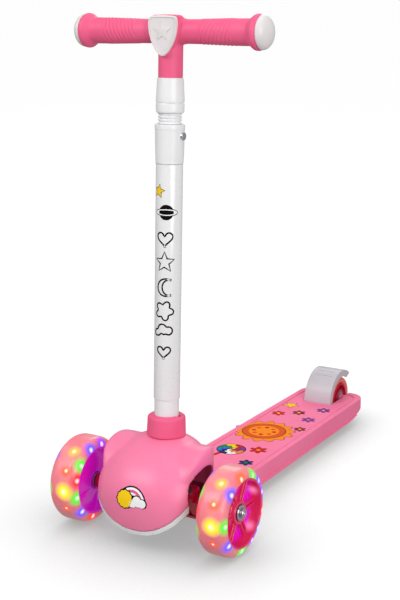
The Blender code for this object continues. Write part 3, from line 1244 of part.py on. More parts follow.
def shield_outline():
    """Badge outline seen from the front: flat top, straight sides and a pointed foot."""
    half = SHIELD_HALF_WIDTH
    top = BAR_HEIGHT + SHIELD_TOP
    tip = BAR_HEIGHT - SHIELD_TIP
    waist = BAR_HEIGHT - SHIELD_WAIST
    right = [(0.0, tip), (half * 0.55, tip + 0.008), (half * 0.92, waist - 0.004), (half, waist + 0.006),
             (half * 0.95, top - 0.004), (half * 0.70, top)]
    return right + [(-x, z) for x, z in reversed(right[1:])]


def shield_badge(axis):
    made = outline_mesh("shield", shield_outline(), -SHIELD_THICKNESS / 2, SHIELD_THICKNESS / 2)
    turn = Matrix(((1, 0, 0, 0), (0, 0, -1, 0), (0, 1, 0, 0), (0, 0, 0, 1)))
    item = add_part("shield_badge", moved(made, turn), WHITE, 0.35)
    place(item, (0, -PAD_FRONT - TOUCH_GAP - SHIELD_THICKNESS / 2, 0), axis)
    soften(item)


def grip(side, label, axis):
    """Soft grip with a flange at its outer end, and a white domed end cap."""
    bore = BAR_CORE_RADIUS + TOUCH_GAP
    start = GRIP_START + TOUCH_GAP
    end = GRIP_END
    flange = end - FLANGE_WIDTH
    profile = [(FLANGE_RADIUS - 0.001, end), (FLANGE_RADIUS, end - 0.001), (FLANGE_RADIUS, flange + 0.001),
               (GRIP_RADIUS, flange), (GRIP_RADIUS, start + GRIP_TAPER), (BAR_RADIUS, start), (bore, start),
               (bore, end)]
    turn = Matrix.Diagonal((side, 1, 1, 1)) @ TO_X
    item = add_part(f"grip_{label}", moved(lathe_mesh("grip", profile), turn), DEEP_PINK, 0.55)
    soften(place(item, (0, 0, BAR_HEIGHT), axis))
    low = end + TOUCH_GAP
    dome = [(CAP_RADIUS * math.cos(t), low + CAP_DEPTH * math.sin(t))
            for t in (math.radians(a) for a in (10, 35, 60, 80))]
    cap = [(0, low + CAP_DEPTH)] + dome[::-1] + [(CAP_RADIUS, low), (0, low)]
    item = add_part(f"end_cap_{label}", moved(lathe_mesh("cap", cap), turn), WHITE, 0.35)
    soften(place(item, (0, 0, BAR_HEIGHT), axis))


# ---------------------------------------------------------------- assembly

def build():
    global parts, cutters
    clear_scene()
    parts = new_collection("kick_scooter")
    cutters = new_collection("construction")
    deck_board()
    front_base()
    front_cover()
    deck_screws()
    frame = steering_frame()
    axle_carrier(frame)
    tie_rod(frame)
    rear_wheel()
    rear_axle()
    brake_pedal()
    brake_pin_and_spring()
    for side, label in ((1, "left"), (-1, "right")):
        front_wheel(side, label)
        front_axle(side, label)
        kingpin(side, label, frame)
        knuckle(side, label, frame)
        tie_pin(side, label, frame)
        centring_spring(side, label, frame)
    axis = empty("stem_axis", (0, FRONT_AXLE_Y + STEM_BASE_Y, STEM_BASE_Z), -STEM_LEAN)
    stem_parts(axis)
    lock_button(axis)
    release_button(axis)
    handle_tube(axis)
    handlebar_tee(axis)
    shield_badge(axis)
    for side, label in ((1, "left"), (-1, "right")):
        grip(side, label, axis)
    bpy.context.view_layer.update()


build()
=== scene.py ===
import math

import bmesh
import bpy
from mathutils import Matrix, Vector
from mathutils.bvhtree import BVHTree


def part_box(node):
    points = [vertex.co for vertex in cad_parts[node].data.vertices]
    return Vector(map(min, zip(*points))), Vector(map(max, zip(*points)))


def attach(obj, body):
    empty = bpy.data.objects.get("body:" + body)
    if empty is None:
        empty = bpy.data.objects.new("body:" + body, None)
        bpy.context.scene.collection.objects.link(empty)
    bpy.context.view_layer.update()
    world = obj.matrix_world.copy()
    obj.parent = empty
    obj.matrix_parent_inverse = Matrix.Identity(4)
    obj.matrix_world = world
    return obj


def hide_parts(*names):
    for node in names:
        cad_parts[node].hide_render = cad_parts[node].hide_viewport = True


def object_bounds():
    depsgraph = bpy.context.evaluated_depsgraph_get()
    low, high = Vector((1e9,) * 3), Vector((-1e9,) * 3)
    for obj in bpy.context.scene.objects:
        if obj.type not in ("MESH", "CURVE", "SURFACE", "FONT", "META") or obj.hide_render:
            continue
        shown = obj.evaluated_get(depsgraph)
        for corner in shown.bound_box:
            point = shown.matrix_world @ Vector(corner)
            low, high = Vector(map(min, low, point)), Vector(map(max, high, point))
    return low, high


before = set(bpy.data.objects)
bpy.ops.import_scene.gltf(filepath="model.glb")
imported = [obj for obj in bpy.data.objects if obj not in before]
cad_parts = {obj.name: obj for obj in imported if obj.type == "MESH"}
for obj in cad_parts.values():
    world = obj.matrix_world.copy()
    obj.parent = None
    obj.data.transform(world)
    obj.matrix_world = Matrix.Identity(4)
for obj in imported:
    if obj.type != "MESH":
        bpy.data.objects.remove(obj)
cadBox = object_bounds()
print("frame loaded")

# Places that everything else hangs on, all in metres
wheelLow, wheelHigh = [Vector(corner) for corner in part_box("front_tyre_left")]
wheelCentre = (wheelLow + wheelHigh) / 2
wheelRadius = (wheelHigh.z - wheelLow.z) / 2
axleY = wheelCentre.y
rearLow, rearHigh = [Vector(corner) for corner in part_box("rear_tyre")]
rearCentre = (rearLow + rearHigh) / 2
stemValues = {"baseY": 0.0287, "baseZ": 0.130, "leanDegrees": 1.89}
stemPlace = (Matrix.Translation((0, axleY + stemValues["baseY"], stemValues["baseZ"]))
             @ Matrix.Rotation(-math.radians(stemValues["leanDegrees"]), 4, "X"))
towardX = Matrix.Rotation(math.radians(90), 4, "Y")


# --- shaping helpers

def tidied(mesh):
    # merges doubles and turns every face outwards
    work = bmesh.new()
    work.from_mesh(mesh)
    bmesh.ops.remove_doubles(work, verts=work.verts, dist=0.000002)
    bmesh.ops.dissolve_degenerate(work, dist=0.000001, edges=work.edges)
    bmesh.ops.recalc_face_normals(work, faces=work.faces)
    work.to_mesh(mesh)
    work.free()
    return mesh


def fromRings(name, rings, wrapRows):
    # rings of equal length, each closed on itself; wrapRows joins the last ring to the first
    across = len(rings[0])
    down = len(rings)
    corners = [tuple(point) for ring in rings for point in ring]
    faces = []
    for row in range(down if wrapRows else down - 1):
        here = row * across
        after = (row + 1) % down * across
        for column in range(across):
            beside = (column + 1) % across
            faces.append((here + column, here + beside, after + beside, after + column))
    if not wrapRows:
        faces.append(tuple(range(across))[::-1])
        faces.append(tuple(range((down - 1) * across, down * across)))
    mesh = bpy.data.meshes.new(name)
    mesh.from_pydata(corners, [], faces)
    return tidied(mesh)


def turned(name, outline, place, steps=96):
    # outline of (radius, height) points turned about the place's Z; it may start and end on the axis
    onAxis = outline[0][0] == 0 and outline[-1][0] == 0
    rings = []
    for radius, height in outline:
        ring = []
        for step in range(steps):
            angle = math.tau * step / steps
            ring.append(place @ Vector((radius * math.cos(angle), radius * math.sin(angle), height)))
        rings.append(ring)
    return fromRings(name, rings, not onAxis)


def softened(points, radius, steps=4, closed=True):
    # rounds each corner of an outline
    count = len(points)
    result = []
    for number, point in enumerate(points):
        if not closed and number in (0, count - 1):
            result.append(point)
            continue
        corner = Vector(point)
        before = Vector(points[number - 1]) - corner
        after = Vector(points[(number + 1) % count]) - corner
        reach = min(radius, before.length * 0.48, after.length * 0.48)
        start = corner + before.normalized() * reach
        end = corner + after.normalized() * reach
        for step in range(steps + 1):
            share = step / steps
            spot = start * (1 - share) ** 2 + corner * 2 * share * (1 - share) + end * share ** 2
            result.append(tuple(spot))
    return result


def arcPoints(centre, radius, start, end, steps):
    points = []
    for step in range(steps + 1):
        angle = math.radians(start + (end - start) * step / steps)
        points.append((centre[0] + radius * math.cos(angle), centre[1] + radius * math.sin(angle)))
    return points


def evaluated(item):
    # the object's mesh with its modifiers in it; the object goes
    bpy.context.view_layer.update()
    graph = bpy.context.evaluated_depsgraph_get()
    mesh = bpy.data.meshes.new_from_object(item.evaluated_get(graph))
    bpy.data.objects.remove(item, do_unlink=True)
    return mesh


def holder(name, data):
    item = bpy.data.objects.new(name, data)
    bpy.context.scene.collection.objects.link(item)
    return item


def flatShape(name, loops, low, high, place=Matrix()):
    # closed outlines filled and extruded from low to high; an outline inside another is a hole
    curve = bpy.data.curves.new(name, "CURVE")
    curve.dimensions = "2D"
    curve.fill_mode = "BOTH"
    curve.extrude = (high - low) / 2
    for loop in loops:
        line = curve.splines.new("POLY")
        line.points.add(len(loop) - 1)
        for point, (x, y) in zip(line.points, loop):
            point.co = (x, y, 0, 1)
        line.use_cyclic_u = True
    mesh = evaluated(holder(name, curve))
    mesh.transform(place @ Matrix.Translation((0, 0, (low + high) / 2)))
    return tidied(mesh)


def combined(mesh, others, operation):
    # Boolean of a mesh with other closed meshes
    item = holder("work", mesh)
    helpers = []
    for other in others:
        helper = holder("helper", other)
        step = item.modifiers.new("Boolean", "BOOLEAN")
        step.operation = operation
        step.object = helper
        helpers.append(helper)
    result = evaluated(item)
    for helper in helpers:
        bpy.data.objects.remove(helper, do_unlink=True)
    return result


def melted(mesh, voxel, rounds, factor=0.5):
    # one smooth skin over a solid
    item = holder("work", mesh)
    remesh = item.modifiers.new("Remesh", "REMESH")
    remesh.mode = "VOXEL"
    remesh.voxel_size = voxel
    smooth = item.modifiers.new("Smooth", "SMOOTH")
    smooth.factor = factor
    smooth.iterations = rounds
    return evaluated(item)


def bevelled(mesh, width, segments=3, angle=35):
    item = holder("work", mesh)
    bevel = item.modifiers.new("Bevel", "BEVEL")
    bevel.width = width
    bevel.segments = segments
    bevel.limit_method = "ANGLE"
    bevel.angle_limit = math.radians(angle)
    return evaluated(item)


def rodMesh(radius, start, end, steps=96):
    start = Vector(start)
    along = Vector(end) - start
    place = Matrix.Translation(start) @ along.to_track_quat("Z", "Y").to_matrix().to_4x4()
    return turned("rod", [(0, 0), (radius, 0), (radius, along.length), (0, along.length)], place, steps)


def boxMesh(low, high):
    low = Vector(low)
    high = Vector(high)
    work = bmesh.new()
    bmesh.ops.create_cube(work, size=1)
    bmesh.ops.scale(work, vec=high - low, verts=work.verts)
    bmesh.ops.translate(work, vec=(low + high) / 2, verts=work.verts)
    mesh = bpy.data.meshes.new("box")
    work.to_mesh(mesh)
    work.free()
    return mesh


def pieceFrom(mesh, name, body, material, stands=(), sharp=38):
    # a finished piece: shaded, given its finish and hung on its body
    mesh.name = name
    mesh.materials.clear()
    mesh.materials.append(material)
    for polygon in mesh.polygons:
        polygon.material_index = 0
    mesh.shade_smooth()
    mesh.set_sharp_from_angle(angle=math.radians(sharp))
    piece = holder(name, mesh)
    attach(piece, body)
    if stands:
        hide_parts(*stands)
    return piece


def dressNode(name, material):
    # a CAD node that keeps its own shape
    item = bpy.data.objects[name]
    item.data.materials.clear()
    item.data.materials.append(material)


# --- node helpers

def addNode(tree, kind, settings, inputs):
    # a node with its settings first, then its inputs as values or links
    made = tree.nodes.new(kind)
    for setting, value in settings.items():
        setattr(made, setting, value)
    for socket, value in inputs.items():
        target = made.inputs[socket]
        source = value.socket if isinstance(value, Wire) else value
        if isinstance(source, bpy.types.NodeSocket):
            tree.links.new(source, target)
        else:
            target.default_value = source
    return made


class Wire:
    # a shader socket that can be added to, scaled and compared like a number
    def __init__(self, look, socket):
        self.look = look
        self.socket = socket

    def maths(self, operation, *values):
        node = self.look.node("ShaderNodeMath", {"operation": operation}, dict(enumerate(values)))
        return Wire(self.look, node.outputs[0])

    def __add__(self, other):
        return self.maths("ADD", self, other)

    def __sub__(self, other):
        return self.maths("SUBTRACT", self, other)

    def __rsub__(self, other):
        return self.maths("SUBTRACT", other, self)

    def __mul__(self, other):
        return self.maths("MULTIPLY", self, other)

    def __truediv__(self, other):
        return self.maths("DIVIDE", self, other)

    def __pow__(self, other):
        return self.maths("POWER", self, other)

    __radd__ = __add__
    __rmul__ = __mul__

    def lowest(self, other):
        return self.maths("MINIMUM", self, other)

    def between(self, low, high):
        node = self.look.node("ShaderNodeMapRange", {"interpolation_type": "SMOOTHSTEP"},
                              {"Value": self, "From Min": low, "From Max": high})
        return Wire(self.look, node.outputs[0])


class Look:
    # a material and its Principled shader
    def __init__(self, name, **fixed):
        self.material = bpy.data.materials.new(name)
        self.material.use_nodes = True
        self.tree = self.material.node_tree
        self.shader = self.tree.nodes["Principled BSDF"]
        for socket, value in fixed.items():
            self.shader.inputs[socket.replace("_", " ")].default_value = value
        self.coordinates = self.node("ShaderNodeTexCoord", {}, {}).outputs["Object"]

    def node(self, kind, settings, inputs):
        return addNode(self.tree, kind, settings, inputs)

    def wire(self, socket):
        return Wire(self, socket)

    def noise(self, scale, detail=3, roughness=0.5, stretch=(1, 1, 1)):
        spread = self.node("ShaderNodeMapping", {}, {"Vector": self.coordinates, "Scale": stretch})
        made = self.node("ShaderNodeTexNoise", {}, {"Vector": spread.outputs[0], "Scale": scale,
                                                    "Detail": detail, "Roughness": roughness})
        return self.wire(made.outputs["Fac"])

    def axes(self):
        made = self.node("ShaderNodeSeparateXYZ", {}, {0: self.coordinates})
        return [self.wire(made.outputs[number]) for number in range(3)]

    def distance(self, point):
        made = self.node("ShaderNodeVectorMath", {"operation": "DISTANCE"}, {0: self.coordinates, 1: point})
        return self.wire(made.outputs["Value"])

    def blend(self, share, first, second, mode="MIX"):
        made = self.node("ShaderNodeMix", {"data_type": "RGBA", "blend_type": mode, "clamp_factor": True},
                         {0: share, 6: first, 7: second})
        return made.outputs[2]

    def colour(self, value):
        self.tree.links.new(value, self.shader.inputs["Base Color"])

    def feed(self, socket, value):
        self.tree.links.new(value.socket if isinstance(value, Wire) else value, self.shader.inputs[socket])

    def bump(self, height, distance=0.0003, strength=1.0):
        made = self.node("ShaderNodeBump", {}, {"Height": height, "Distance": distance, "Strength": strength})
        self.tree.links.new(made.outputs[0], self.shader.inputs["Normal"])


def srgb(red, green, blue, alpha=1.0):
    # everyday 0-255 colour to the linear values that shaders use
    parts = []
    for value in (red, green, blue):
        share = value / 255
        parts.append(share / 12.92 if share <= 0.04045 else ((share + 0.055) / 1.055) ** 2.4)
    return (*parts, alpha)


def mouldedLook(name, colour, deep, roughness=0.38, grain=2600, grainDepth=0.00003, coat=0.0, specular=0.3,
                **more):
    # moulded plastic: faint flow marks in the colour, fine spark grain, small rubbed patches
    look = Look(name, Coat_Weight=coat, Coat_Roughness=0.18, Specular_IOR_Level=specular, **more)
    flow = look.noise(22, 4, 0.55)
    rubbed = look.noise(70, 6, 0.7).between(0.60, 0.78)
    look.colour(look.blend(flow.between(0.35, 0.75) * 0.5, colour, deep))
    look.feed("Roughness", roughness + rubbed * 0.08 + flow * 0.06)
    look.bump(look.noise(grain, 2, 0.6) + flow * 0.4, grainDepth)
    return look.material


def metalLook(name, colour, roughness, lines=900, stretch=(1, 1, 1), depth=0.00002):
    # bare metal with turning lines and a few smears
    look = Look(name, Metallic=1.0)
    smear = look.noise(60, 4, 0.6)
    fine = look.noise(lines, 3, 0.6, stretch)
    look.colour(look.blend(smear.between(0.4, 0.8) * 0.35, colour,
                           tuple(c * 0.72 for c in colour[:3]) + (1,)))
    look.feed("Roughness", roughness + fine * 0.12 + smear * 0.08)
    look.bump(fine, depth)
    return look.material


def paintLook(name, colour):
    # powder coat on tube: orange peel under a clear gloss
    look = Look(name, Coat_Weight=0.6, Coat_Roughness=0.08)
    peel = look.noise(420, 2, 0.5)
    cloud = look.noise(14, 3, 0.5)
    look.colour(look.blend(cloud.between(0.3, 0.8) * 0.3, colour, tuple(c * 0.93 for c in colour[:3]) + (1,)))
    look.feed("Roughness", 0.24 + peel * 0.08)
    look.bump(peel, 0.00004)
    return look.material


colours = {
    "hood": srgb(248, 130, 169), "hoodDeep": srgb(243, 116, 158),
    "rose": srgb(241, 99, 141), "roseDeep": srgb(232, 84, 128),
    "white": srgb(236, 236, 237), "offWhite": srgb(224, 221, 222),
    "grey": srgb(196, 192, 198), "greyDeep": srgb(182, 178, 185),
    "crimson": srgb(206, 16, 60), "crimsonDeep": srgb(168, 6, 42),
    "peach": srgb(246, 148, 152), "peachDeep": srgb(240, 122, 140),
    "steel": srgb(176, 178, 184), "chrome": srgb(212, 214, 220),
}
looks = {
    "hood": mouldedLook("pinkPlastic", colours["hood"], colours["hoodDeep"], 0.34, coat=0.05),
    "deck": mouldedLook("deckPlastic", srgb(250, 130, 168), srgb(245, 116, 157), 0.55, grain=1800,
                        grainDepth=0.00005,
                        specular=0.08),
    "rose": mouldedLook("deepPinkRubber", colours["rose"], colours["roseDeep"], 0.46, grain=2200,
                        grainDepth=0.00004, specular=0.25),
    "white": mouldedLook("whitePlastic", colours["white"], colours["offWhite"], 0.3, coat=0.25),
    "shield": mouldedLook("offWhitePlastic", srgb(228, 222, 222), srgb(214, 208, 209), 0.34, coat=0.2),
    "grey": mouldedLook("greyPlastic", colours["grey"], colours["greyDeep"], 0.42, grain=1500,
                        grainDepth=0.00006, coat=0.1),
    "crimson": mouldedLook("crimsonPlastic", colours["crimson"], colours["crimsonDeep"], 0.4, coat=0.1),
    "paint": paintLook("whitePaint", colours["white"]),
    "steel": metalLook("steel", colours["steel"], 0.3, 700, (1, 8, 8)),
    "chrome": metalLook("chrome", colours["chrome"], 0.1, 900, (8, 1, 1)),
}
print("finishes ready")


# --- hood

hoodValues = {
    "halfWidth": 0.078, "halfDepth": 0.062, "centreY": 0.002, "widestZ": 0.062, "crownZ": 0.137,
    "squareness": 2.5, "domePower": 2.3, "tuck": 0.090, "floorZ": 0.012, "wall": 0.003,
    "earY": 0.018, "earZ": 0.076, "earRadius": 0.054, "earHalfWidth": 0.0742, "earHalfDepth": 0.058,
              "earRound": 0.009,
    "archY": 0.008, "archZ": 0.070, "archRadius": 0.0385, "archInnerX": 0.044,
    "splitRadius": 0.082, "splitZ": 0.109, "baseRadius": 0.087, "baseZ": 0.108,
    "deckGap": 0.0638, "tongueHalf": 0.0363, "tongueFront": 0.030, "tongueTop": 0.0433,
    "seatRadius": 0.0267, "seatLow": 0.0042, "neckHole": 0.0218,
}


def domeMesh(inset=0.0, rows=36, steps=120):
    v = hoodValues
    heights = [v["floorZ"] + (v["widestZ"] - v["floorZ"]) * row / 10 for row in range(11)]
    crown = v["crownZ"] - inset
    heights += [v["widestZ"] + (crown - v["widestZ"]) * math.sin(math.pi / 2 * row / rows)
                for row in range(1, rows)]
    rings = []
    for z in heights:
        if z > v["widestZ"]:
            rise = min((z - v["widestZ"]) / (crown - v["widestZ"]), 0.9999)
            share = (1 - rise ** v["domePower"]) ** (1 / v["domePower"])
            shift = (stemValues["baseY"] - v["centreY"]) * rise ** 2
        else:
            share = math.sqrt(1 - ((v["widestZ"] - z) / v["tuck"]) ** 2)
            shift = 0
        halfX = (v["halfWidth"] - inset) * share
        halfY = (v["halfDepth"] - inset) * share
        rings.append([(x, axleY + v["centreY"] + shift + y, z) for x, y in roundedOval(halfX, halfY, steps)])
    return fromRings("dome", rings, False)


def roundedOval(halfX, halfY, steps):
    power = 2 / hoodValues["squareness"]
    points = []
    for step in range(steps):
        angle = math.tau * step / steps
        c = math.cos(angle)
        s = math.sin(angle)
        points.append((halfX * math.copysign(abs(c) ** power, c), halfY * math.copysign(abs(s) ** power, s)))
    return points


def earMesh(inset=0.0):
    # drum across the hood with well rounded ends, trimmed to the hood's plan
    v = hoodValues
    half = v["earHalfWidth"] - inset
    radius = v["earRadius"] - inset
    outline = softened([(0, -half), (radius, -half), (radius, half), (0, half)], v["earRound"], 8,
                       closed=False)
    place = Matrix.Translation((0, axleY + v["earY"], v["earZ"])) @ towardX
    drum = turned("ear", outline, place, 120)
    plan = [(x, y + axleY + v["centreY"] + 0.006) for x,
            y in roundedOval(half, v["earHalfDepth"] - inset, 96)]
    return combined(drum, [flatShape("plan", [plan], 0.0, 0.2)], "INTERSECT")


def archTools(grow=0.0):
    v = hoodValues
    made = []
    for side in (-1, 1):
        near = side * v["archInnerX"]
        far = side * 0.1
        y = axleY + v["archY"]
        radius = v["archRadius"] + grow
        made.append(rodMesh(radius, (near, y, v["archZ"]), (far, y, v["archZ"])))
        lowX, highX = sorted((near, far))
        made.append(boxMesh((lowX, y - radius, -0.01), (highX, y + radius, v["archZ"])))
    return made


def splitDrum(radius, z):
    return rodMesh(radius, (0, axleY - 0.2, z), (0, axleY + 0.3, z), 160)


def stemSpot(height):
    return stemPlace @ Vector((0, 0, height))


def makeHood():
    v = hoodValues
    solid = combined(domeMesh(), [earMesh()], "UNION")
    solid = melted(solid, 0.0019, 3)
    solid = combined(solid, [splitDrum(v["splitRadius"], v["splitZ"])], "INTERSECT")
    solid = combined(solid, archTools(), "DIFFERENCE")
    skin = melted(solid, 0.0014, 3)
    patch = skin.copy()
    hollow = combined(domeMesh(v["wall"], 20, 72), [earMesh(v["wall"])], "UNION")
    half = v["tongueHalf"]
    deckGap = boxMesh((-0.1, axleY + v["deckGap"], 0), (0.1, axleY + 0.12, 0.06))
    tongue = boxMesh((-half, axleY + v["tongueFront"], 0), (half, axleY + 0.09, v["tongueTop"]))
    seat = rodMesh(v["seatRadius"], stemSpot(v["seatLow"]), stemSpot(0.03))
    neck = rodMesh(v["neckHole"], stemSpot(-0.03), stemSpot(0.03))
    shell = combined(skin, [hollow, deckGap, tongue, seat, neck], "DIFFERENCE")
    pieceFrom(shell, "hood_shell", "frame", looks["hood"], ["front_cover"], 50)
    return patch


hoodSkin = makeHood()
print("hood done")


baseValues = {"tailHalf": 0.034, "tailFront": 0.030, "tailLow": 0.029, "tailHigh": 0.035, "deckGap": 0.0637,
              "edge": 0.0006}


def makeBase():
    v = hoodValues
    b = baseValues
    pan = combined(domeMesh(0, 24, 160), [splitDrum(v["baseRadius"], v["baseZ"])], "INTERSECT")
    pan = combined(pan, [splitDrum(v["splitRadius"] + 0.0003, v["splitZ"])], "DIFFERENCE")
    low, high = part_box("front_base")
    tail = boxMesh((-b["tailHalf"], axleY + b["tailFront"], b["tailLow"]),
                   (b["tailHalf"], high[1], b["tailHigh"]))
    pan = combined(pan, [tail], "UNION")
    deckGap = boxMesh((-0.1, axleY + b["deckGap"], 0.0351), (0.1, axleY + 0.12, 0.09))
    pan = combined(pan, archTools(0.0003) + [deckGap], "DIFFERENCE")
    pieceFrom(bevelled(pan, b["edge"], 2, 50), "belly_pan", "frame", looks["white"],
              ["front_base"], 40)


makeBase()
print("belly pan done")


# --- stem

neckValues = {"radius": 0.0264, "topRadius": 0.0254, "foot": 0.0045, "height": 0.029, "cone": 0.0035,
              "bore": 0.0168,
              "spigot": 0.0215, "slotHalf": 0.0042, "slotDepth": 0.006}


def makeNeck():
    v = neckValues
    rim = v["foot"] + v["height"] - v["cone"]
    top = rim + v["cone"]
    outside = softened([(v["spigot"], v["foot"]), (v["radius"], v["foot"]), (v["topRadius"], rim),
                        (v["bore"] + 0.002, top),
                        (v["bore"], top - 0.001)], 0.0022, 5, closed=False)
    outline = [(0, -0.0265), (0, -0.0315), (v["spigot"], -0.0315)] + outside + [(v["bore"], -0.0265)]
    body = turned("neck", outline[1:] + [outline[0]], stemPlace, 120)
    cuts = []
    for near, far in ((-0.0215, -0.0158), (0.0158, 0.0215)):
        slot = boxMesh((near, -v["slotHalf"], top - v["slotDepth"]), (far, v["slotHalf"], top + 0.01))
        slot.transform(stemPlace)
        cuts.append(slot)
    cuts.append(rodMesh(0.00485, stemPlace @ Vector((0, 0.012, 0.016)),
                        stemPlace @ Vector((0, 0.04, 0.016)), 48))
    pieceFrom(combined(body, cuts, "DIFFERENCE"), "neck_collar", "frame", looks["rose"],
              ["neck_socket"])


def stemPiece(name, outline, radius, material, node, body="frame"):
    mesh = turned(name, softened(outline, radius, 4), stemPlace, 120)
    pieceFrom(mesh, name, body, material, [node])


tubeValues = {"radius": 0.0175, "wall": 0.0018, "low": 0.0553, "high": 0.367, "bore": 0.01305,
              "collarHigh": 0.4175, "collarTopRadius": 0.0195, "collarLowRadius": 0.0181,
              "bushHigh": 0.4315, "bushRadius": 0.0155, "sleeveHigh": 0.4757, "sleeveTopRadius": 0.0168,
              "sleeveRadius": 0.0183, "seam": 0.4450}


def makeStem():
    v = tubeValues
    stemPiece("stem_outer_tube", [(v["radius"], v["high"]), (v["radius"], v["low"]),
                                  (v["radius"] - v["wall"], v["low"]),
                                  (v["radius"] - v["wall"], v["high"])], 0.0004, looks["paint"],
              "stem_tube")
    base = v["high"] + 0.0003
    stemPiece("clamp_collar", [(v["collarTopRadius"], v["collarHigh"]),
                               (v["collarTopRadius"], v["collarHigh"] - 0.006),
                               (v["collarTopRadius"] - 0.0003, v["collarHigh"] - 0.007),
                               (v["collarLowRadius"] + 0.0004, base + 0.012),
                               (v["collarLowRadius"], base + 0.004),
                               (v["collarLowRadius"], base), (0.0154, base), (0.0154, base - 0.027),
                               (v["bore"], base - 0.027),
                               (v["bore"], v["collarHigh"])], 0.0011, looks["white"],
              "lock_collar")
    low = v["collarHigh"] + 0.0003
    pitch = (v["bushHigh"] - low) / 3.5
    rings = [(v["bore"], v["bushHigh"]), (v["bushRadius"], v["bushHigh"])]
    for number in range(3):
        middle = v["bushHigh"] - pitch * (number + 0.75)
        rings += [(v["bushRadius"], middle + 0.0012), (v["bushRadius"] - 0.0014, middle + 0.0008),
                  (v["bushRadius"] - 0.0014, middle - 0.0008), (v["bushRadius"], middle - 0.0012)]
    rings += [(v["bushRadius"], low), (v["bore"], low)]
    stemPiece("ribbed_bush", rings, 0.0004, looks["white"], "collar_bush")
    low = v["bushHigh"] + 0.0003
    seam = v["seam"]
    stemPiece("upper_sleeve", [(v["sleeveTopRadius"], v["sleeveHigh"]),
                               (v["sleeveRadius"] - 0.0001, seam + 0.006),
                               (v["sleeveRadius"], seam), (v["sleeveRadius"] - 0.0010, seam - 0.0004),
                               (v["sleeveRadius"] - 0.0010, seam - 0.0013),
                               (v["sleeveRadius"], seam - 0.0018),
                               (v["sleeveRadius"] - 0.0001, low + 0.002), (v["sleeveRadius"] - 0.0008, low),
                               (0.0130, low), (0.0130, v["sleeveHigh"])], 0.0006, looks["white"],
              "handle_sleeve", "handlebar")
    button = softened([(0, 0.0217), (0.0053, 0.0217), (0.0053, 0.0170), (0.0022, 0.0170), (0.0022, 0.0131),
                       (0, 0.0131)],
                      0.0009, 4, closed=False)
    place = stemPlace @ Matrix.Translation((0, 0, 0.403)) @ towardX
    pieceFrom(turned("button", button, place, 48), "height_button", "lock_button", looks["chrome"],
              ["lock_button"])


makeNeck()
makeStem()
print("stem done")


# --- handlebar

barValues = {"height": 0.5331, "teeRadius": 0.0158, "barRadius": 0.0152, "teeHalf": 0.030, "core": 0.0110,
             "gripEnd": 0.129, "gripRadius": 0.0166, "flangeRadius": 0.0221, "capRadius": 0.0212,
             "capDepth": 0.0134,
             "grooveStart": 0.046, "grooveEnd": 0.094, "groovePitch": 0.0057, "grooveStarts": 6,
             "grooveDepth": 0.0009}
barPlace = stemPlace @ Matrix.Translation((0, 0, barValues["height"]))


def makeTee():
    v = barValues
    bottom = tubeValues["sleeveHigh"] + 0.0003
    stem = turned("tee", [(0, v["height"] + 0.0205), (v["teeRadius"] - 0.003, v["height"] + 0.0205),
                          (v["teeRadius"], v["height"] + 0.017), (v["teeRadius"], bottom - 0.004),
                          (0, bottom - 0.004)], stemPlace)
    bar = turned("bar", [(0, -0.034), (v["barRadius"], -0.034), (v["barRadius"], -0.025),
                         (v["barRadius"] + 0.0015, -0.016),
                         (v["barRadius"] + 0.0015, 0.016), (v["barRadius"], 0.025), (v["barRadius"], 0.034),
                         (0, 0.034)],
                 barPlace @ towardX)
    outline = softened([(-0.0195, 0.020), (0.0195, 0.020), (0.0200, -0.004), (0.013, -0.018), (0, -0.030),
                        (-0.013, -0.018), (-0.0200, -0.004)], 0.006, 6)
    standUp = Matrix(((1, 0, 0, 0), (0, 0, -1, 0), (0, 1, 0, 0), (0, 0, 0, 1)))
    pad = flatShape("pad", [outline], 0.0, 0.0180, barPlace @ standUp)
    whole = melted(combined(stem, [bar, pad], "UNION"), 0.0013, 10)
    keep = turned("keep", [(0, bottom), (0.2, bottom), (0.2, v["height"] + 0.1), (0, v["height"] + 0.1)],
                  stemPlace, 32)
    ends = boxMesh((-v["teeHalf"], -0.1, -0.1), (v["teeHalf"], 0.1, 0.1))
    ends.transform(barPlace)
    whole = combined(combined(whole, [keep], "INTERSECT"), [ends], "INTERSECT")
    core = rodMesh(v["core"], barPlace @ Vector((-v["gripEnd"], 0, 0)),
                   barPlace @ Vector((v["gripEnd"], 0, 0)), 64)
    hole = rodMesh(0.0130, stemSpot(bottom - 0.01), stemSpot(v["height"] - 0.0165), 64)
    whole = combined(combined(whole, [core], "UNION"), [hole], "DIFFERENCE")
    pieceFrom(whole, "tee_moulding", "handlebar", looks["rose"], ["handlebar_tee"], 50)


def gripRadiusAt(x):
    # the grip's plain radius: a waist at the tee, a slow swell, and a bell at the flange
    v = barValues
    swell = v["barRadius"] + (v["gripRadius"] - v["barRadius"]) * smoothStep(0.032, 0.110, x)
    bell = (v["flangeRadius"] - v["gripRadius"]) * smoothStep(0.113, 0.124, x)
    lip = 0.0016 * smoothStep(v["gripEnd"] - 0.003, v["gripEnd"], x)
    return swell + bell - lip


def smoothStep(low, high, value):
    share = min(max((value - low) / (high - low), 0), 1)
    return share * share * (3 - 2 * share)


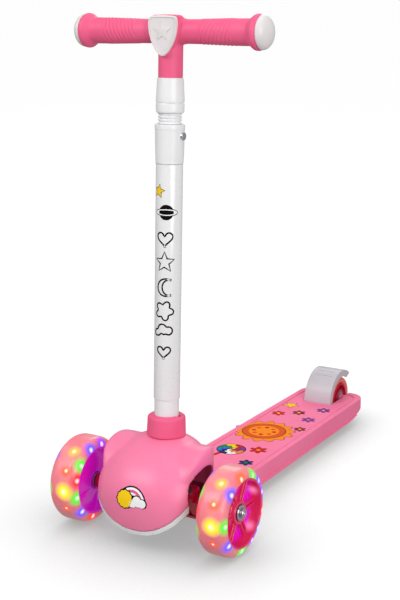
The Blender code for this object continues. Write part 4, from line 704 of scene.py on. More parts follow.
def makeGrip(side, label):
    v = barValues
    steps = 144
    rows = 190
    start = v["teeHalf"] + 0.0002
    rings = []
    for row in range(rows + 1):
        x = start + (v["gripEnd"] - start) * row / rows
        edge = smoothStep(v["grooveStart"] - 0.004, v["grooveStart"] + 0.004, x)
        edge *= 1 - smoothStep(v["grooveEnd"] - 0.004, v["grooveEnd"] + 0.004, x)
        ring = []
        for step in range(steps):
            angle = math.tau * step / steps
            turn = (x / v["groovePitch"] - v["grooveStarts"] * angle / math.tau) % 1
            groove = math.exp(-((turn - 0.5) / 0.17) ** 2)
            radius = gripRadiusAt(x) + edge * (0.0004 - v["grooveDepth"] * groove)
            ring.append((x, -radius * math.cos(angle), radius * math.sin(angle)))
        rings.append(ring)
    bore = v["core"] + 0.0003
    for x in (v["gripEnd"], start):
        rings.append([(x, -bore * math.cos(math.tau * s / steps), bore * math.sin(math.tau * s / steps))
                      for s in range(steps)])
    mesh = fromRings("grip", rings, True)
    mesh.transform(barPlace @ Matrix.Diagonal((side, 1, 1, 1)))
    pieceFrom(tidied(mesh), f"ribbed_grip_{label}", "handlebar", looks["rose"],
              [f"grip_{label}"], 60)
    low = v["gripEnd"] + 0.0003
    dome = [(v["capRadius"] * math.cos(math.radians(a)),
             low + v["capDepth"] * math.sin(math.radians(a)) ** 0.9)
            for a in range(8, 90, 6)]
    outline = [(0, low), (v["capRadius"] - 0.0008, low),
               (v["capRadius"], low + 0.0009)] + dome + [(0, low + v["capDepth"])]
    cap = turned("cap", outline, barPlace @ Matrix.Diagonal((side, 1, 1, 1)) @ towardX)
    pieceFrom(tidied(cap), f"bar_cap_{label}", "handlebar", looks["shield"],
              [f"end_cap_{label}"], 60)


shieldValues = {"halfWidth": 0.021, "top": 0.0193, "tip": 0.0325, "thickness": 0.0033, "starRadius": 0.0125}


def shieldOutline(scale=1.0):
    v = shieldValues
    half = v["halfWidth"]
    right = [(0, -v["tip"]), (half * 0.42, -v["tip"] + 0.0072), (half * 0.80, -0.0125),
             (half * 0.985, 0.0015),
             (half, 0.0130), (half * 0.90, v["top"] - 0.0012), (half * 0.3, v["top"])]
    points = right + [(-x, z) for x, z in reversed(right[1:])]
    middle = -0.004
    points = softened(points, 0.0075, 6)
    return [(x * scale, middle + (z - middle) * scale) for x, z in points]


def starPoints(points, outer, inner, centre=(0, 0), turn=90):
    spots = []
    for number in range(points * 2):
        radius = outer if number % 2 == 0 else inner
        angle = math.radians(turn + 180 * number / points)
        spots.append((centre[0] + radius * math.cos(angle), centre[1] + radius * math.sin(angle)))
    return spots


def makeShield():
    v = shieldValues
    standUp = Matrix(((1, 0, 0, 0), (0, 0, -1, 0), (0, 1, 0, 0), (0, 0, 0, 1)))
    place = barPlace @ standUp
    back = 0.0181
    plate = bevelled(flatShape("plate", [shieldOutline()], back, back + v["thickness"] - 0.0011, place),
                     0.0006, 3)
    rim = flatShape("rim", [shieldOutline(0.985), shieldOutline(0.90)], back + 0.001, back + v["thickness"],
                    place)
    star = flatShape("star", [starPoints(5, v["starRadius"], v["starRadius"] * 0.42, (0, -0.0005))],
                     back + 0.001,
                     back + v["thickness"], place)
    mesh = combined(plate, [bevelled(rim, 0.0004, 2), bevelled(star, 0.0004, 2)], "UNION")
    pieceFrom(mesh, "shield_plate", "handlebar", looks["shield"], ["shield_badge"], 30)


makeTee()
for side, label in ((1, "left"), (-1, "right")):
    makeGrip(side, label)
makeShield()
print("handlebar done")


# --- front wheels

wheelValues = {"halfWidth": 0.0219, "rimRadius": 0.0473, "barrelInner": 0.0437, "corner": 0.013,
               "spokePairs": 6, "spokeGap": 0.0031, "spokeWidth": 0.0026, "spokeHeight": 0.0105,
               "hubRadius": 0.0150, "boreRadius": 0.0113, "webDepth": (0.006, 0.0095)}

# where the lamps show: angle about the axle, distance along it from the wheel's middle, radius, size, glow
treadLamps = [(124, 0.0055, 0.0110, srgb(255, 200, 60), 0.8), (152, 0.0055, 0.0100, srgb(255, 90, 10), 1.2),
              (180, 0.0055, 0.0150, srgb(255, 200, 0), 1.6), (205, 0.0055, 0.0075, srgb(255, 80, 20), 1.0),
              (60, 0.0, 0.012, srgb(255, 180, 30), 0.9), (20, 0.0, 0.010, srgb(255, 90, 10), 1.1),
              (-20, 0.0, 0.014, srgb(255, 200, 0), 1.4), (-60, 0.0, 0.009, srgb(255, 80, 20), 1.0)]
lampColours = {"amber": srgb(255, 96, 0), "green": srgb(0, 235, 30), "blue": srgb(80, 80, 255),
               "violet": srgb(150, 50, 255),
               "red": srgb(255, 0, 20)}
faceLamps = [(100, "amber"), (64, "green"), (133, "blue"), (180, "green"), (-144, "blue"), (-97, "green"),
             (-65, "violet"), (-42, "blue"), (16, "violet"), (-15, "red"), (40, "blue")]
innerFaceLamps = [(78, "violet"), (107, "blue"), (51, "amber"), (139, "green"), (163, "red"), (-169, "green"),
                  (-139, "blue"), (-106, "red"), (-60, "violet"), (-20, "green"), (15, "amber")]


def tyreLook(side, label):
    # translucent cast tyre: peach with clouded depth, lit from inside by the lamp ring
    look = Look(f"litTyre_{label}", Subsurface_Weight=0.3, Subsurface_Scale=0.01, Coat_Weight=0.15,
                Coat_Roughness=0.12,
                Specular_IOR_Level=0.3, Emission_Strength=1.0)
    look.shader.inputs["Subsurface Radius"].default_value = (1.0, 0.35, 0.3)
    cloud = look.noise(38, 3, 0.5)
    body = look.blend(cloud.between(0.3, 0.7), colours["peach"], colours["peachDeep"])
    look.feed("Roughness", 0.24 + cloud * 0.12)
    look.bump(look.noise(900, 2, 0.5) + look.noise(60, 2, 0.5) * 2, 0.00005)
    glow = (0.08, 0.025, 0.022, 1)
    spots = []
    for angle, offset, size, colour, power in treadLamps:
        spots.append((angle, offset if side > 0 else 0.0065, wheelRadius * 0.995, size, colour, power))
    faces = ((1, faceLamps if side > 0 else innerFaceLamps), (-1, innerFaceLamps if side > 0 else faceLamps))
    for direction, lamps in faces:
        for angle, colour in lamps:
            spots.append((angle, direction * 0.0205, 0.0500, 0.0135, lampColours[colour], 1.0))
    for angle, offset, radius, size, colour, power in spots:
        turn = math.radians(angle)
        centre = (side * wheelCentre.x + offset, wheelCentre.y + radius * math.cos(turn),
                  wheelCentre.z + radius * math.sin(turn))
        away = look.distance(centre)
        halo = 1 - (away / size).lowest(1.0)
        halo = (halo * 1.5).lowest(1.0)
        core = 1 - (away / (size * 0.34)).lowest(1.0)
        strong = tuple(value * power * 0.9 for value in colour[:3]) + (1,)
        body = look.blend(halo * 0.9, body, tuple(value * 0.5 for value in colour[:3]) + (1,))
        glow = look.blend(halo, glow, strong)
        glow = look.blend(core, glow, (1.2, 1.2, 1.1, 1), "ADD")
    look.colour(body)
    look.feed("Emission Color", glow)
    return look.material


def rimLook(side, label):
    # clear crimson plastic that the lamps turn magenta and violet
    look = Look(f"litRim_{label}", Coat_Weight=0.5, Coat_Roughness=0.1, Emission_Strength=0.55)
    flow = look.noise(30, 3, 0.5)
    x, y, z = look.axes()
    if side > 0:
        lit = ((y - (wheelCentre.y - 0.004)) / 0.03 + flow * 0.3).between(0.0, 0.7)
    else:
        lit = (flow * 0.6 + 0.55).between(0.3, 0.9)
    # the ribs and hub stand clear of the glowing web
    raised = (x * side - wheelCentre.x).between(*wheelValues["webDepth"])
    lit = lit * (1 - raised)
    look.colour(look.blend(lit, srgb(226, 40, 96), srgb(206, 22, 150)))
    look.feed("Roughness", 0.22 + flow * 0.12)
    look.bump(look.noise(1200, 2, 0.5), 0.00002)
    glow = look.blend(lit, (0.05, 0, 0.01, 1), (0.36, 0.0, 0.44, 1))
    for angle, radius, offset in ((23, 0.0425, 0.012), (-45, 0.0425, 0.012), (150, 0.0425, -0.014),
                                  (-120, 0.0425, -0.014)):
        turn = math.radians(angle)
        spot = (side * wheelCentre.x + offset, wheelCentre.y + radius * math.cos(turn),
                wheelCentre.z + radius * math.sin(turn))
        halo = (1 - (look.distance(spot) / 0.011).lowest(1.0)) ** 1.5
        glow = look.blend(halo, glow, srgb(255, 190, 255), "ADD")
    look.feed("Emission Color", glow)
    return look.material


def wheelFrame(side):
    # local Z runs along the axle, outwards
    centre = (side * wheelCentre.x, wheelCentre.y, wheelCentre.z)
    return Matrix.Translation(centre) @ Matrix.Diagonal((side, 1, 1, 1)) @ towardX


def makeTyre(side, label):
    v = wheelValues
    half = v["halfWidth"]
    edge = v["corner"]
    crown = []
    for step in range(13):
        across = -half + edge + (half - edge) * 2 * step / 12
        crown.append((wheelRadius - 0.0006 * (across / half) ** 2, across))
    top = arcPoints((wheelRadius - edge, half - edge), edge, 10, 90, 8)
    low = arcPoints((wheelRadius - edge, edge - half), edge, -90, -10, 8)
    inner = v["rimRadius"] + 0.0002
    seat = 0.0095
    bore = softened([(inner, half), (inner, seat), (inner + 0.0028, seat), (inner + 0.0028, -seat),
                     (inner, -seat),
                     (inner, -half)], 0.0007, 3, closed=False)
    outline = low + crown + top + bore
    mesh = tidied(turned("tyre", outline, wheelFrame(side), 160))
    pieceFrom(mesh, f"lit_tyre_{label}", f"front_wheel_{label}", tyreLook(side, label),
              [f"front_tyre_{label}"], 60)


def ribTree():
    # pairs of ribs set round a hub; the inputs are a rib's sizes and how many pairs there are
    tree = bpy.data.node_groups.new("hubRibs", "GeometryNodeTree")
    tree.interface.new_socket("Geometry", in_out="OUTPUT", socket_type="NodeSocketGeometry")
    sizes = {"Pairs": 6, "Reach": 0.03, "Thickness": 0.002, "Height": 0.01, "Start": 0.012, "Gap": 0.003}
    for name, value in sizes.items():
        kind = "NodeSocketInt" if isinstance(value, int) else "NodeSocketFloat"
        tree.interface.new_socket(name, in_out="INPUT", socket_type=kind).default_value = value

    def put(kind, inputs, **settings):
        return addNode(tree, kind, settings, inputs).outputs

    given = put("NodeGroupInput", {})
    points = put("GeometryNodePoints", {"Count": given["Pairs"]})
    index = put("GeometryNodeInputIndex", {})
    turn = put("ShaderNodeMath", {0: math.tau, 1: given["Pairs"]}, operation="DIVIDE")
    half = put("ShaderNodeMath", {0: index[0], 1: 0.5}, operation="ADD")
    angle = put("ShaderNodeMath", {0: half[0], 1: turn[0]}, operation="MULTIPLY")
    spin = put("ShaderNodeCombineXYZ", {2: angle[0]})
    size = put("ShaderNodeCombineXYZ", {0: given["Reach"], 1: given["Thickness"], 2: given["Height"]})
    bar = put("GeometryNodeMeshCube", {"Size": size[0]})
    middle = put("ShaderNodeMath", {0: given["Reach"], 1: 0.5, 2: given["Start"]}, operation="MULTIPLY_ADD")
    both = tree.nodes.new("GeometryNodeJoinGeometry")
    for sign in (-1, 1):
        across = put("ShaderNodeMath", {0: given["Gap"], 1: sign}, operation="MULTIPLY")
        spot = put("ShaderNodeCombineXYZ", {0: middle[0], 1: across[0]})
        shift = put("GeometryNodeTransform", {"Geometry": bar["Mesh"], "Translation": spot[0]})
        tree.links.new(shift[0], both.inputs[0])
    place = put("GeometryNodeInstanceOnPoints",
                {"Points": points[0], "Instance": both.outputs[0], "Rotation": spin[0]})
    real = put("GeometryNodeRealizeInstances", {0: place[0]})
    finish = put("GeometryNodeSetMaterial", {"Geometry": real[0], "Material": looks["crimson"]})
    put("NodeGroupOutput", {0: finish[0]})
    return tree


def ribMesh(tree, **sizes):
    item = holder("ribs", bpy.data.meshes.new("ribs"))
    modifier = item.modifiers.new("Ribs", "NODES")
    modifier.node_group = tree
    for socket in tree.interface.items_tree:
        if socket.in_out == "INPUT" and socket.name in sizes:
            modifier[socket.identifier] = sizes[socket.name]
    return evaluated(item)


def makeRim(side, label, tree):
    v = wheelValues
    half = v["halfWidth"]
    outline = softened([
        (v["rimRadius"], half), (v["rimRadius"], -half), (v["barrelInner"] + 0.0004, -half),
                        (v["barrelInner"] - 0.002, -0.0125),
        (0.0300, -0.0165), (v["hubRadius"], -0.0190), (v["boreRadius"] + 0.0012, -0.0190),
                        (v["boreRadius"], -0.012),
        (v["boreRadius"], half - 0.0068), (v["hubRadius"] + 0.0006, half - 0.0068),
                        (v["hubRadius"] + 0.0022, 0.0100),
        (0.0300, 0.0040), (v["barrelInner"] - 0.001, 0.0025), (v["barrelInner"] + 0.0004, half)], 0.0009, 3)
    steps = 180
    rings = []
    for radius, height in outline:
        ring = []
        for step in range(steps):
            angle = math.tau * step / steps
            lift = 0.0
            if height < -0.0105 and v["hubRadius"] < radius < v["barrelInner"] - 0.0005:
                fold = (angle * v["spokePairs"] / math.tau) % 1
                lift = 0.0048 * (fold - 0.5) * smoothStep(v["hubRadius"], 0.022, radius)
            ring.append((radius * math.cos(angle), radius * math.sin(angle), height + lift))
        rings.append(ring)
    body = fromRings("rim", rings, True)
    reach = v["barrelInner"] + 0.0015 - v["boreRadius"] - 0.002
    ribs = ribMesh(tree, Pairs=v["spokePairs"], Reach=reach, Thickness=v["spokeWidth"],
                   Height=v["spokeHeight"],
                   Start=v["boreRadius"] + 0.002, Gap=v["spokeGap"])
    ribs.transform(Matrix.Translation((0, 0, 0.0072)))
    body = combined(body, [bevelled(ribs, 0.0007, 3)], "UNION")
    body.transform(wheelFrame(side))
    pieceFrom(tidied(body), f"lit_rim_{label}", f"front_wheel_{label}", rimLook(side, label),
              [f"front_rim_{label}"], 32)


trimValues = {"seat": 0.0155, "washerRadius": 0.0108, "washerTop": 0.0096, "washerBore": 0.0044,
              "headRadius": 0.0064, "shankRadius": 0.0040, "round": 0.0005}


def makeHubTrim(side, label):
    v = trimValues
    seat = v["seat"]
    rim = v["washerRadius"]
    bore = v["washerBore"]
    washer = softened([(rim, seat), (rim, seat + 0.0013), (v["washerTop"], seat + 0.0022),
                       (bore, seat + 0.0022), (bore, seat)], v["round"], 3)
    pieceFrom(tidied(turned("washer", washer, wheelFrame(side), 72)), f"domed_washer_{label}",
              f"steering_{label}",
              looks["chrome"], [f"hub_washer_{label}"])
    head = seat + 0.0025
    low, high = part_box(f"front_axle_{label}")
    tip = min(abs(low[0]), abs(high[0])) - wheelCentre.x
    wide = v["headRadius"]
    shank = v["shankRadius"]
    bolt = softened([(0, head + 0.0016), (0.0026, head + 0.0016), (0.0030, head + 0.0038),
                     (0.0052, head + 0.0038),
                     (wide, head + 0.0026), (wide, head), (shank, head), (shank, tip), (0, tip)],
                    v["round"], 3, closed=False)
    pieceFrom(tidied(turned("bolt", bolt, wheelFrame(side), 60)), f"axle_bolt_{label}", f"steering_{label}",
              looks["chrome"], [f"front_axle_{label}"])


hubRibs = ribTree()
for side, label in ((1, "left"), (-1, "right")):
    makeTyre(side, label)
    makeRim(side, label, hubRibs)
    makeHubTrim(side, label)
print("front wheels done")


# --- rear wheel

rearValues = {"tyreBore": 0.0258, "tyreCorner": 0.0055, "rimRadius": 0.0255, "barrel": 0.0225,
              "webOuter": 0.003, "webInner": 0.0035, "hubRadius": 0.0148, "boreRadius": 0.0113}


def makeRearWheel():
    v = rearValues
    radius = (rearHigh.z - rearLow.z) / 2
    half = (rearHigh.x - rearLow.x) / 2
    place = Matrix.Translation(rearCentre) @ towardX
    outline = softened([(radius, half), (radius, -half), (v["tyreBore"], -half), (v["tyreBore"], half)],
                       v["tyreCorner"], 6)
    plain = mouldedLook("rearTyre", srgb(240, 120, 110), srgb(232, 96, 98), 0.4, coat=0.2)
    pieceFrom(turned("tyre", outline, place, 128), "rear_tread", "rear_wheel", plain,
              ["rear_tyre"], 50)
    half -= 0.0003
    rim, barrel, hub, bore = v["rimRadius"], v["barrel"], v["hubRadius"], v["boreRadius"]
    outline = softened([(rim, half), (rim, -half), (barrel, -half), (barrel, -v["webOuter"]),
                        (hub, -v["webInner"]),
                        (hub, -half), (bore, -half), (bore, half), (hub, half), (hub, v["webInner"]),
                        (barrel, v["webOuter"]), (barrel, half)], 0.0008, 3)
    pieceFrom(turned("rim", outline, place, 128), "rear_hub", "rear_wheel", looks["crimson"],
              ["rear_rim"])


makeRearWheel()
print("rear wheel done")


# --- brake

brakeValues = {"centreY": 0.556, "centreZ": 0.042, "radius": 0.048, "thickness": 0.003, "halfWidth": 0.0235,
               "flange": 0.011, "start": 196, "tail": 50, "pivotY": 0.519, "pivotZ": 0.031,
               "earRadius": 0.0055,
               "pinHole": 0.00285, "grooves": 3, "grooveStart": 88, "grooveStep": 15, "grooveTurn": 2.6,
               "grooveDepth": 0.0006, "grooveShare": 0.62}


def sideways(points, low, high):
    # (y, z) outline extruded along X
    place = Matrix(((0, 0, 1, 0), (1, 0, 0, axleY), (0, 1, 0, 0), (0, 0, 0, 1)))
    return flatShape("side", [points], low, high, place)


def makeBrake():
    v = brakeValues
    centre = (v["centreY"], v["centreZ"])
    inner = v["radius"] - v["thickness"]
    skirt = v["radius"] - v["flange"]
    half = v["halfWidth"]
    outside = arcPoints(centre, v["radius"], v["tail"], v["start"], 48)
    inside = arcPoints(centre, skirt, v["start"], v["tail"] + 8, 40)
    solid = bevelled(sideways(outside + inside, -half, half), 0.0022, 4, 50)
    edge = half - v["thickness"]
    channel = arcPoints(centre, inner, v["tail"] - 20, v["start"] + 20, 60)
    channel += arcPoints(centre, skirt - 0.01, v["start"] + 20, v["tail"] - 20, 60)
    solid = combined(solid, [sideways(channel, -edge, edge)], "DIFFERENCE")
    ears = []
    for side in (-1, 1):
        ears.append(rodMesh(v["earRadius"], (side * (edge + 0.0002), axleY + v["pivotY"], v["pivotZ"]),
                            (side * (half - 0.0002), axleY + v["pivotY"], v["pivotZ"]), 48))
    solid = combined(solid, ears, "UNION")
    pivot = axleY + v["pivotY"]
    cuts = [rodMesh(v["pinHole"], (-0.03, pivot, v["pivotZ"]), (0.03, pivot, v["pivotZ"]), 32)]
    for number in range(v["grooves"]):  # shallow grooves across the pedal
        angle = v["grooveStart"] + number * v["grooveStep"]
        band = arcPoints(centre, v["radius"] - v["grooveDepth"], angle, angle + v["grooveTurn"], 4)
        band += arcPoints(centre, v["radius"] + 0.002, angle + v["grooveTurn"], angle, 4)
        cuts.append(sideways(band, -half * v["grooveShare"], half * v["grooveShare"]))
    solid = combined(solid, cuts, "DIFFERENCE")
    pieceFrom(solid, "brake_fender", "brake", looks["grey"], ["brake_pedal"], 40)


makeBrake()
print("brake done")


# --- deck

deckValues = {"half": 0.058, "rearHalf": 0.056, "front": 0.064, "rear": 0.585, "top": 0.043,
              "bottom": 0.016, "corner": 0.010,
              "tailCorner": 0.026, "rise": 0.080, "wall": 0.0035, "plate": 0.0045, "lip": 0.002,
              "lipHeight": 0.004,
              "border": 0.009, "groove": 0.0012, "recess": 0.0005, "slotHalf": 0.025, "slotFront": 0.507,
              "slotWall": 0.004,
              "rib": 0.006, "ribs": 6, "ribStart": 0.110, "ribWidth": 0.0025, "notchHalf": 0.0343,
              "notchRear": 0.0685,
              "notchTop": 0.0363, "padHalf": 0.036, "padFront": 0.044, "padRear": 0.114, "padLow": 0.0353,
              "bossRadius": 0.0062, "bossInner": 0.014, "bossOuter": 0.033, "axleHole": 0.0043,
              "nutHole": 0.0055,
              "pinHole": 0.0028, "screwHole": 0.0023, "screwX": 0.024, "screwRows": (0.078, 0.100),
              "screwTop": 0.0408}


def deckPlan(inset=0.0, frontCorner=None, tailCorner=None):
    v = deckValues
    first = v["corner"] - inset if frontCorner is None else frontCorner
    last = v["tailCorner"] - inset if tailCorner is None else tailCorner
    half = v["half"] - inset
    rearHalf = v["rearHalf"] - inset
    right = arcPoints((half - first, v["front"] + inset + first), first, -90, 0, 8)
    right += arcPoints((rearHalf - last, v["rear"] - inset - last), last, 0, 90, 14)
    points = right + [(-x, y) for x, y in reversed(right)]
    return [(x, y + axleY) for x, y in points]


def deckSlab(inset, low, high, corner=None, tail=None):
    return flatShape("slab", [deckPlan(inset, corner, tail)], low, high)


def makeDeck():
    v = deckValues
    body = bevelled(deckSlab(0, v["bottom"] - 0.004, v["top"]), 0.0055, 6, 50)
    lip = bevelled(deckSlab(-v["lip"], v["bottom"] - 0.004, v["bottom"] + v["lipHeight"]), 0.0012, 3, 50)
    body = combined(body, [lip], "UNION")
    curve = []
    for angle in range(0, 78, 5):
        turn = math.radians(angle)
        curve.append((v["rear"] - v["rise"] + v["rise"] * math.sin(turn),
                      v["top"] - (v["top"] - v["bottom"]) * math.cos(turn)))
    far = v["rear"] + 0.01
    profile = [(0, v["bottom"])] + curve + [(far, curve[-1][1]), (far, 0.08), (0, 0.08)]
    body = combined(body, [sideways(profile, -0.08, 0.08)], "INTERSECT")
    hollow = deckSlab(v["wall"], 0, v["top"] - v["plate"])
    notch = boxMesh((-v["notchHalf"], axleY + 0.05, 0),
                    (v["notchHalf"], axleY + v["notchRear"], v["notchTop"]))
    body = combined(body, [hollow, notch], "DIFFERENCE")
    top = v["top"] - v["plate"] + 0.001
    slot = v["slotHalf"]
    wall = v["slotWall"]
    front = axleY + v["slotFront"]
    rear = axleY + v["rear"] - 0.001
    walls = [boxMesh((-slot - wall, front - wall, v["bottom"] + 0.003), (-slot, rear, top)),
             boxMesh((slot, front - wall, v["bottom"] + 0.003), (slot + wall, rear, top)),
             boxMesh((-slot - wall, front - wall, v["bottom"] + 0.003), (slot + wall, front, top)),
             boxMesh((-v["padHalf"], axleY + v["padFront"], v["padLow"]),
                     (v["padHalf"], axleY + v["padRear"], v["top"] - 0.001))]
    spacing = (v["slotFront"] - v["ribStart"]) / (v["ribs"] + 1)
    for number in range(v["ribs"]):
        y = axleY + v["ribStart"] + spacing * (number + 1)
        reach = v["rearHalf"] - v["wall"] + 0.001
        walls.append(boxMesh((-reach, y, v["top"] - v["plate"] - v["rib"]), (reach, y + v["ribWidth"], top)))
    body = combined(body, walls, "UNION")
    inner = v["border"] + v["groove"]
    channel = flatShape("channel", [deckPlan(v["border"], 0.010, 0.026), deckPlan(inner, 0.0095, 0.025)],
                        v["top"] - 0.0012, v["top"] + 0.01)
    panel = deckSlab(inner - 0.0002, v["top"] - v["recess"], v["top"] + 0.01, 0.0095, 0.025)
    well = boxMesh((-slot, front, 0), (slot, rear + 0.02, 0.06))
    body = combined(body, [channel, panel, well], "DIFFERENCE")
    axle = rearCentre
    bosses = []
    for side in (-1, 1):
        bosses.append(rodMesh(v["bossRadius"], (side * v["bossInner"], axle.y, axle.z),
                              (side * v["bossOuter"], axle.y, axle.z), 48))
    body = combined(body, bosses, "UNION")
    cuts = [rodMesh(v["axleHole"], (-0.045, axle.y, axle.z), (0.045, axle.y, axle.z), 32)]
    for side in (-1, 1):
        cuts.append(rodMesh(v["nutHole"], (side * 0.03315, axle.y, axle.z), (side * 0.042, axle.y, axle.z),
                            48))
    pivotY = axleY + brakeValues["pivotY"]
    pivotZ = brakeValues["pivotZ"]
    cuts.append(rodMesh(v["pinHole"], (-0.035, pivotY, pivotZ), (0.035, pivotY, pivotZ), 32))
    for x in (-v["screwX"], v["screwX"]):
        for y in v["screwRows"]:
            cuts.append(rodMesh(v["screwHole"], (x, axleY + y, 0.02), (x, axleY + y, v["screwTop"]), 24))
    body = combined(body, cuts, "DIFFERENCE")
    pieceFrom(body, "deck_moulding", "frame", looks["deck"], ["deck_board"], 32)


makeDeck()
print("deck done")


# --- printed stickers

def inkLook(name, colour):
    # printed vinyl: an even colour with faint speckle under a satin film
    look = Look(name, Specular_IOR_Level=0.05)
    speckle = look.noise(900, 3, 0.6)
    look.colour(look.blend(speckle.between(0.45, 0.75) * 0.25, colour,
                           tuple(c * 0.8 for c in colour[:3]) + (1,)))
    look.feed("Roughness", 0.5 + speckle * 0.1)
    look.bump(speckle, 0.00001)
    return look.material


inks = {name: inkLook(f"ink_{name}", colour) for name, colour in {
    "black": srgb(12, 10, 12), "white": srgb(246, 246, 246), "yellow": srgb(252, 208, 30),
    "orange": srgb(252, 142, 8), "amber": srgb(224, 84, 8), "red": srgb(196, 24, 28),
    "blue": srgb(24, 120, 208), "navy": srgb(26, 32, 96), "green": srgb(24, 138, 56),
    "purple": srgb(120, 50, 140), "maroon": srgb(130, 16, 44), "pink": srgb(240, 90, 150),
}.items()}
inkPrint = {}


def petalPoints(petals, radius, depth, centre=(0, 0), turn=0, steps=72):
    points = []
    for step in range(steps):
        angle = math.tau * step / steps
        reach = radius * (1 - depth + depth * abs(math.cos(petals * angle / 2 + turn)))
        points.append((centre[0] + reach * math.cos(angle), centre[1] + reach * math.sin(angle)))
    return points


def roundPoints(radius, centre=(0, 0), steps=40):
    return arcPoints(centre, radius, 0, 360 - 360 / steps, steps - 1)


def wedgePoints(centre, inner, outer, start, end):
    return arcPoints(centre, outer, start, end, 14) + arcPoints(centre, inner, end, start, 14)


def heartPoints(size, centre=(0, 0)):
    points = []
    for step in range(48):
        angle = math.tau * step / 48
        x = 16 * math.sin(angle) ** 3
        y = 13 * math.cos(angle) - 5 * math.cos(2 * angle) - 2 * math.cos(3 * angle) - math.cos(4 * angle)
        points.append((centre[0] + size * x / 17, centre[1] + size * y / 17))
    return points


def moonPoints(size, centre=(0, 0)):
    outer = arcPoints(centre, size, 50, 310, 30)
    inner = arcPoints((centre[0] + size * 0.48, centre[1]), size * 0.78, 280, 80, 24)
    return outer + inner


def cloudPoints(size, centre=(0, 0)):
    bumps = [(-0.62, -0.1, 0.38), (-0.15, 0.28, 0.46), (0.42, 0.10, 0.42)]
    points = []
    for step in range(90):
        angle = math.tau * step / 90
        reach = 0.3
        for x, y, radius in bumps:
            along = x * math.cos(angle) + y * math.sin(angle)
            gap = radius ** 2 - (x * x + y * y - along * along)
            if gap > 0:
                reach = max(reach, along + math.sqrt(gap))
        px = reach * math.cos(angle)
        py = max(reach * math.sin(angle), -0.42)
        points.append((centre[0] + size * px, centre[1] + size * py))
    return points


def shrunk(points, border):
    # the outline moved in by about border
    count = len(points)
    area = sum(points[i - 1][0] * points[i][1] - points[i][0] * points[i - 1][1] for i in range(count))
    side = 1 if area > 0 else -1
    moved = []
    for number, (x, y) in enumerate(points):
        along = Vector(points[(number + 1) % count]) - Vector(points[number - 1])
        if along.length < 1e-9:
            continue
        inward = Vector((-along.y, along.x)).normalized() * side * border
        moved.append((x + inward.x, y + inward.y))
    return moved


def addPrint(surface, ink, loops, layer=0):
    inkPrint.setdefault((surface, ink, layer), []).append(loops)


def printDeck():
    # sun, lollipop and flowers along the standing area; x across, y along the deck from the front axle
    sun = (-0.011, 0.336)
    addPrint("deck", "maroon", [petalPoints(14, 0.0500, 0.22, sun)], 0)
    addPrint("deck", "orange", [petalPoints(14, 0.0485, 0.22, sun)], 1)
    addPrint("deck", "maroon", [roundPoints(0.0350, sun, 60)], 2)
    addPrint("deck", "amber", [roundPoints(0.0335, sun, 60)], 3)
    addPrint("deck", "orange", [roundPoints(0.0240, sun, 60)], 4)
    for number in range(8):
        angle = 45 * number + 10
        spot = (sun[0] + 0.0165 * math.cos(math.radians(angle)),
                sun[1] + 0.0165 * math.sin(math.radians(angle)))
        addPrint("deck", "amber" if number % 2 else "red", [roundPoints(0.0036, spot, 20)], 5)
    sweet = (-0.016, 0.239)
    addPrint("deck", "red", [[(-0.0340, 0.194), (-0.0285, 0.191), (-0.0185, 0.225), (-0.0240, 0.227)]], 1)
    addPrint("deck", "black", [roundPoints(0.0225, sweet, 48)], 1)
    for number, ink in enumerate(("red", "yellow", "green", "blue", "navy", "white", "orange", "purple")):
        for ring in range(3):
            start = 45 * number + 26 * ring
            addPrint("deck", ink, [wedgePoints(sweet, 0.0005 + 0.007 * ring, 0.0070 * (ring + 1), start,
                                               start + 43)], 2)
    flowers = [((0.021, 0.256), "red", "orange", 0.0125), ((0.030, 0.200), "navy", "green", 0.0105),
               ((-0.031, 0.426), "red", "yellow", 0.0105), ((-0.003, 0.445), "maroon", "yellow", 0.0100),
               ((0.027, 0.476), "purple", "yellow", 0.0105), ((0.026, 0.420), "purple", "orange", 0.0105),
               ((0.034, 0.372), "maroon", "yellow", 0.0090)]
    for centre, ink, heart, size in flowers:
        addPrint("deck", ink, [petalPoints(6, size * 1.15, 0.46, centre, 0.4)], 1)
        addPrint("deck", heart, [roundPoints(size * 0.26, centre, 20)], 2)
    addPrint("deck", "red", [starPoints(5, 0.0165, 0.0075, (-0.032, 0.474), 70)], 1)
    addPrint("deck", "yellow", [starPoints(5, 0.0135, 0.0060, (-0.032, 0.474), 70)], 2)


def printStem():
    # a star, a ringed planet and a column of outlined shapes; x round the tube, y up it
    def outlined(points, border=0.0021):
        points = [(x + 0.0045, y) for x, y in points]
        addPrint("stem", "black", [points, shrunk(points, border)])
    star = starPoints(5, 0.0098, 0.0046, (-0.0050, 0.333), 80)
    addPrint("stem", "black", [star, shrunk(star, 0.0010)])
    addPrint("stem", "yellow", [shrunk(star, 0.0011)])
    planet = (0.0060, 0.306)
    addPrint("stem", "black", [roundPoints(0.0100, planet, 48)])
    belt = [(planet[0] + 0.0150 * math.cos(math.radians(a)), planet[1] + 0.0042 * math.sin(math.radians(a)))
            for a in range(0, 360, 8)]
    addPrint("stem", "white", [belt, shrunk(belt, 0.0013)], 1)
    addPrint("stem", "black", [shrunk(belt, -0.0009), belt], 1)
    shapes = [heartPoints(0.0125, (0, 0.272)), starPoints(5, 0.0148, 0.0072, (0, 0.241)),
              moonPoints(0.0125, (0.002, 0.208)),
              petalPoints(5, 0.0140, 0.34, (0, 0.177), 0.3), cloudPoints(0.0150, (0, 0.149)),
              heartPoints(0.0110, (0, 0.122))]
    for shape in shapes:
        outlined(shape)


